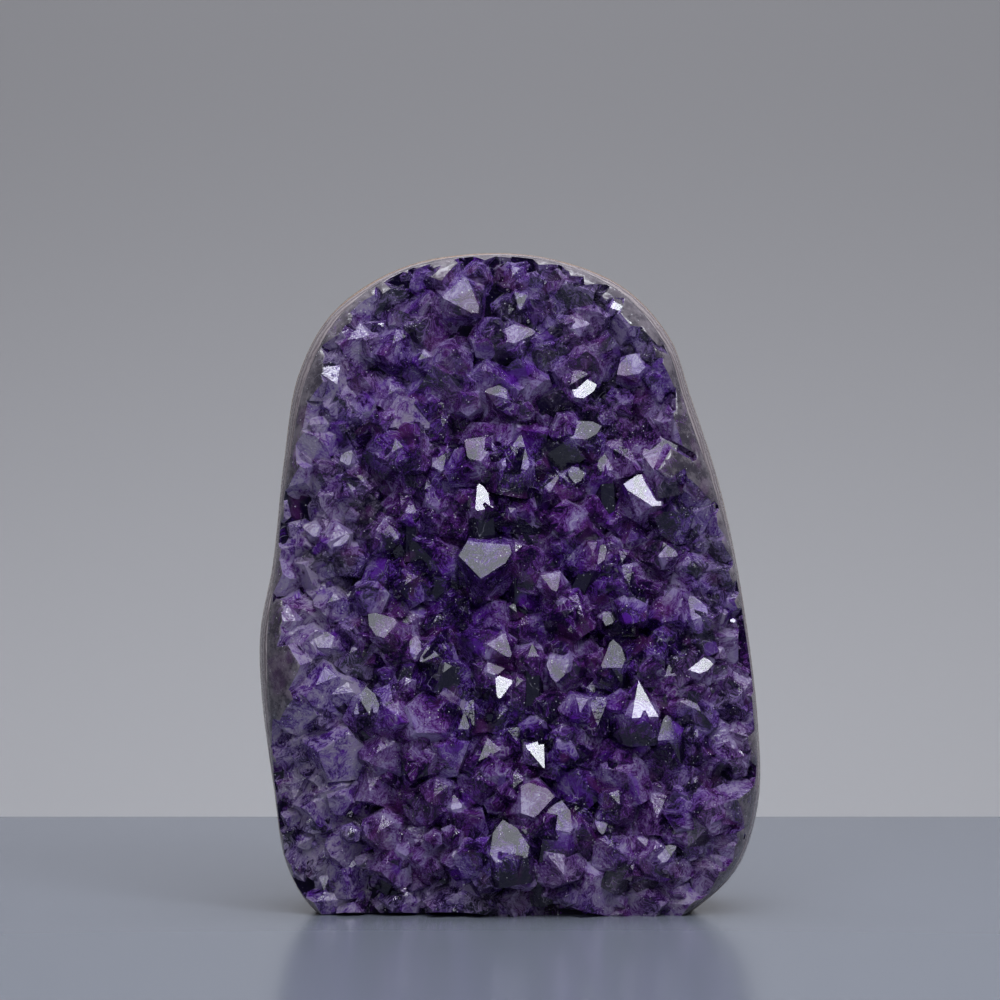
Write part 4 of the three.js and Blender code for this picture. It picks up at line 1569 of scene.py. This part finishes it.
@dataclass(frozen=True)
class RockFinish:
    """The look of the rock, in layers: banded agate at the front, a thin tan skin, then dark basalt.

    Patterns and spans are as in the crystals' finish. Depths are in millimetres in the geode's wall.
    """

    wall: bpy.types.ShaderNodeTree
    wobble: float = 3.2
    wear: float = 0.2
    agate: Colour = (0.42, 0.36, 0.37, 1)
    agate_dark: Colour = (0.2, 0.16, 0.18, 1)
    tan: Colour = (0.42, 0.27, 0.17, 1)
    green: Colour = (0.075, 0.085, 0.065, 1)
    basalt: Colour = (0.07, 0.06, 0.055, 1)
    basalt_light: Colour = (0.16, 0.135, 0.12, 1)
    zeolite: Colour = (0.55, 0.52, 0.48, 1)
    band_fineness: float = 0.2
    band_distortion: float = 3.5
    band_layers: Pattern = (3.0, 1.3)
    stains: Pattern = (380, 4, 0.7)
    stain_span: Span = (0.52, 0.7, 0, 0.7)
    tan_span: Span = (-7.0, -5.8, 0, 0.85)
    green_span: Span = (-4.6, -3.4, 0, 0.8)
    basalt_range: Point = (-3.0, -0.6)
    mottles: Pattern = (95, 6, 0.65)
    mottle_range: Point = (0.36, 0.72)
    grain: Pattern = (2400, 3, 0.7)
    grain_span: Span = (0.56, 0.74, 0, 0.55)
    filled_bubbles: tuple[float, float, float] = (420, 0.36, 0.86)
    filled_most: float = 0.7
    roughness: Span = (6, 16, 0.2, 0.58)
    pits: Pattern = (1300, 5, 0.65)
    pit_strength: Span = (4, 16, 0.05, 0.7)
    pit_depth: float = 0.0005

    def basalt_colour(self, wires: Wires, place: bpy.types.NodeSocket) -> bpy.types.NodeSocket:
        """Mixes the mottled lava with its pale filled bubbles.

        Args:
            wires: the material's nodes.
            place: where on the object.

        Returns:
            The colour.
        """
        mottles = wires.spread(wires.noise(place, *self.mottles), *self.mottle_range)
        colour = wires.mix(mottles, self.basalt, self.basalt_light)
        grain = wires.spread(wires.noise(place, *self.grain), *self.grain_span)
        colour = wires.mix(grain, colour, self.basalt_light)
        filled = wires.dots(place, *self.filled_bubbles)
        return wires.mix(wires.times(filled, self.filled_most), colour, self.zeolite)

    def material(self) -> bpy.types.Material:
        """Makes the rock's material."""
        material, wires, shader = start_material("rock")
        place = wires.add("ShaderNodeTexCoord").outputs["Object"]
        inputs = {"Place": place, "Wobble": self.wobble, "Wear": self.wear}
        wall = wires.add("ShaderNodeGroup", inputs, node_tree=self.wall).outputs
        depth = wall["Depth"]
        bands = wires.add("ShaderNodeTexWave", {
            "Vector": wires.add("ShaderNodeCombineXYZ", {0: depth}).outputs[0],
            "Scale": self.band_fineness, "Distortion": self.band_distortion,
            "Detail": self.band_layers[0], "Detail Scale": self.band_layers[1],
        })
        stains = wires.noise(place, *self.stains)
        colour = wires.mix(bands.outputs["Fac"], self.agate_dark, self.agate)
        colour = wires.mix(wires.spread(depth, *self.tan_span), colour, self.tan)
        colour = wires.mix(wires.spread(stains, *self.stain_span), colour, self.agate_dark)
        colour = wires.mix(wires.spread(depth, *self.green_span), colour, self.green)
        lava = self.basalt_colour(wires, place)
        colour = wires.mix(wires.spread(depth, *self.basalt_range), colour, lava)
        bump = wires.add("ShaderNodeBump", {
            "Height": wires.noise(place, *self.pits), "Strength": wires.spread(depth, *self.pit_strength),
            "Distance": self.pit_depth,
        })
        wires.fill(shader, {
            "Base Color": colour, "Normal": bump.outputs[0],
            "Roughness": wires.plus(wires.spread(depth, *self.roughness), wall["Roughness"]),
        })
        return material


@dataclass(frozen=True)
class Lamp:
    """One soft rectangular light. Sizes and places are in metres, power is in watts."""

    name: str
    place: Place
    size: Point
    power: float
    aim: Place = (0, 0, 0.06)
    colour: tuple[float, float, float] = (0.9, 0.94, 1.0)

    def build(self) -> None:
        """Hangs the light."""
        lamp = bpy.data.lights.new(self.name, "AREA")
        lamp.shape = "RECTANGLE"
        lamp.size, lamp.size_y = self.size
        lamp.energy = self.power
        lamp.color = self.colour
        thing = bpy.data.objects.new(self.name, lamp)
        thing.location = self.place
        thing.rotation_euler = (Vector(self.aim) - Vector(self.place)).to_track_quat("-Z", "Y").to_euler()
        bpy.context.scene.collection.objects.link(thing)


@dataclass
class Studio:
    """The floor, the backdrop, the lights and the camera. Sizes are in metres."""

    eye: Vector = field(default_factory=lambda: Vector((-0.00165, -0.76, 0.085)))
    aim: Vector = field(default_factory=lambda: Vector((-0.00165, 0, 0.0747)))
    lens: float = 148.5
    sensor: float = 36
    sees_to: float = 20
    floor_end: float = 0.18
    floor_reach: float = 2
    floor_colour: Colour = (0.225, 0.245, 0.295, 1)
    floor_rough: float = 0.2
    wall_at: float = 0.75
    wall_reach: float = 3
    wall_heights: Point = (-1.5, 2.5)
    wall_rough: float = 0.9
    # The backdrop's colour holds painted light: light low down and dark high up, as the lamps fall on it.
    wall_low_painted_light: Colour = (0.62, 0.605, 0.625, 1)
    wall_high_painted_shade: Colour = (0.38, 0.365, 0.375, 1)
    wall_painted_fade: Point = (-0.06, 0.26)
    room: Colour = (0.35, 0.35, 0.37, 1)
    room_strength: float = 0.09
    lamps: tuple[Lamp, ...] = (
        Lamp("above", (0.054, -0.3, 0.576), (0.5, 0.45), 2.6),
        Lamp("spark", (0.30, -0.41, 0.51), (0.16, 0.16), 1.1),
        Lamp("front", (-0.36, -0.88, 0.38), (0.4, 0.3), 1.35),
        Lamp("wall_wash", (0, 0.2, 1.2), (1.0, 0.4), 8.4, (0, 0.75, 0.3)),
        Lamp("wall_glow", (0, 0.38, -0.3), (1.0, 0.1), 1.2, (0, 0.75, 0.1)),
    )

    def plane(self, name: str, corners: Sequence[Sequence[float]], material: bpy.types.Material) -> None:
        """Makes one flat stage piece from its corners, in metres."""
        mesh = bpy.data.meshes.new(name)
        mesh.from_pydata(corners, [], [range(len(corners))])
        mesh.materials.append(material)
        new_object(name, mesh)

    def floor(self) -> None:
        """Lays the pale, slightly glossy floor."""
        material, wires, shader = start_material("floor")
        wires.fill(shader, {"Base Color": self.floor_colour, "Roughness": self.floor_rough})
        end, half = self.floor_end, self.floor_reach
        corners = [(-half, -half, 0), (half, -half, 0), (half, end, 0), (-half, end, 0)]
        self.plane("floor", corners, material)

    def wall(self) -> None:
        """Hangs the plain backdrop, with painted light in its colour: lighter low down and darker high up.
        """
        material, wires, shader = start_material("wall")
        place = wires.add("ShaderNodeTexCoord").outputs["Object"]
        height = wires.add("ShaderNodeSeparateXYZ", {0: place}).outputs[2]
        # Painted light and shade: the colour runs from light low down to dark high up.
        colour = wires.mix(wires.spread(height, *self.wall_painted_fade), self.wall_low_painted_light, self.wall_high_painted_shade)
        wires.fill(shader, {"Base Color": colour, "Roughness": self.wall_rough})
        at, half = self.wall_at, self.wall_reach
        low, high = self.wall_heights
        corners = [(-half, at, low), (half, at, low), (half, at, high), (-half, at, high)]
        self.plane("wall", corners, material)

    def camera(self) -> None:
        """Sets up the camera at the photograph's angle."""
        camera = bpy.data.cameras.new("camera")
        camera.lens = self.lens
        camera.sensor_width = self.sensor
        camera.clip_end = self.sees_to
        thing = bpy.data.objects.new("camera", camera)
        thing.location = self.eye
        thing.rotation_euler = (self.aim - self.eye).to_track_quat("-Z", "Y").to_euler()
        bpy.context.scene.collection.objects.link(thing)
        bpy.context.scene.camera = thing

    def build(self) -> None:
        """Sets up the whole studio."""
        self.floor()
        self.wall()
        for lamp in self.lamps:
            lamp.build()
        world = bpy.data.worlds.new("room")
        world.use_nodes = True
        background = world.node_tree.nodes["Background"]
        Wires(world.node_tree).fill(background, {0: self.room, 1: self.room_strength})
        bpy.context.scene.world = world
        bpy.context.scene.view_settings.view_transform = "Standard"
        self.camera()


@dataclass
class Cluster:
    """The whole cluster: the pebble's form and the two pieces cut from it."""

    pebble: Pebble = field(default_factory=Pebble)
    chip: Chip = field(default_factory=Chip)

    def build(self) -> None:
        """Builds the rock and the crystals, and lets them stand for the frame's solids."""
        envelope = new_object("envelope", self.pebble.envelope())
        mark_faces(envelope.data, "polish", [1.0] * len(envelope.data.polygons))
        envelope.data.shade_smooth()
        under = new_object("under", under_base())
        missing = new_object("missing", self.chip.mesh(self.pebble))
        carve(envelope, "DIFFERENCE", [under, missing])
        druse = Druse(self.pebble)
        block = new_object("block", self.pebble.behind_face(0))
        block_ahead = new_object("block_ahead", self.pebble.behind_face(druse.gap))
        wall = WornPolish().group(self.pebble)
        rock = Rock(self.pebble).build(envelope, block, RockFinish(wall).material())
        crystals = druse.build(envelope, block_ahead, QuartzFinish(wall).material())
        for name in ("point", "seedling"):
            remove_collection(name)
        for helper in (envelope, under, missing, block, block_ahead):
            bpy.data.objects.remove(helper)
        for piece, node, slot in ((rock, "matrix", "rock"), (crystals, "amethyst_crystals", "amethyst")):
            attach(piece, "root")
            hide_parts(node)
            log.info("%s stands for %s", piece.name, node)


def remove_collection(name: str) -> None:
    """Deletes a collection and the objects in it."""
    collection = bpy.data.collections[name]
    for thing in list(collection.objects):
        bpy.data.objects.remove(thing)
    bpy.data.collections.remove(collection)


def main() -> None:
    """Builds the studio and the cluster; the cluster's pieces log their face counts."""
    Studio().build()
    Cluster().build()
    bpy.context.view_layer.update()


if __name__ == "__main__":
    main()
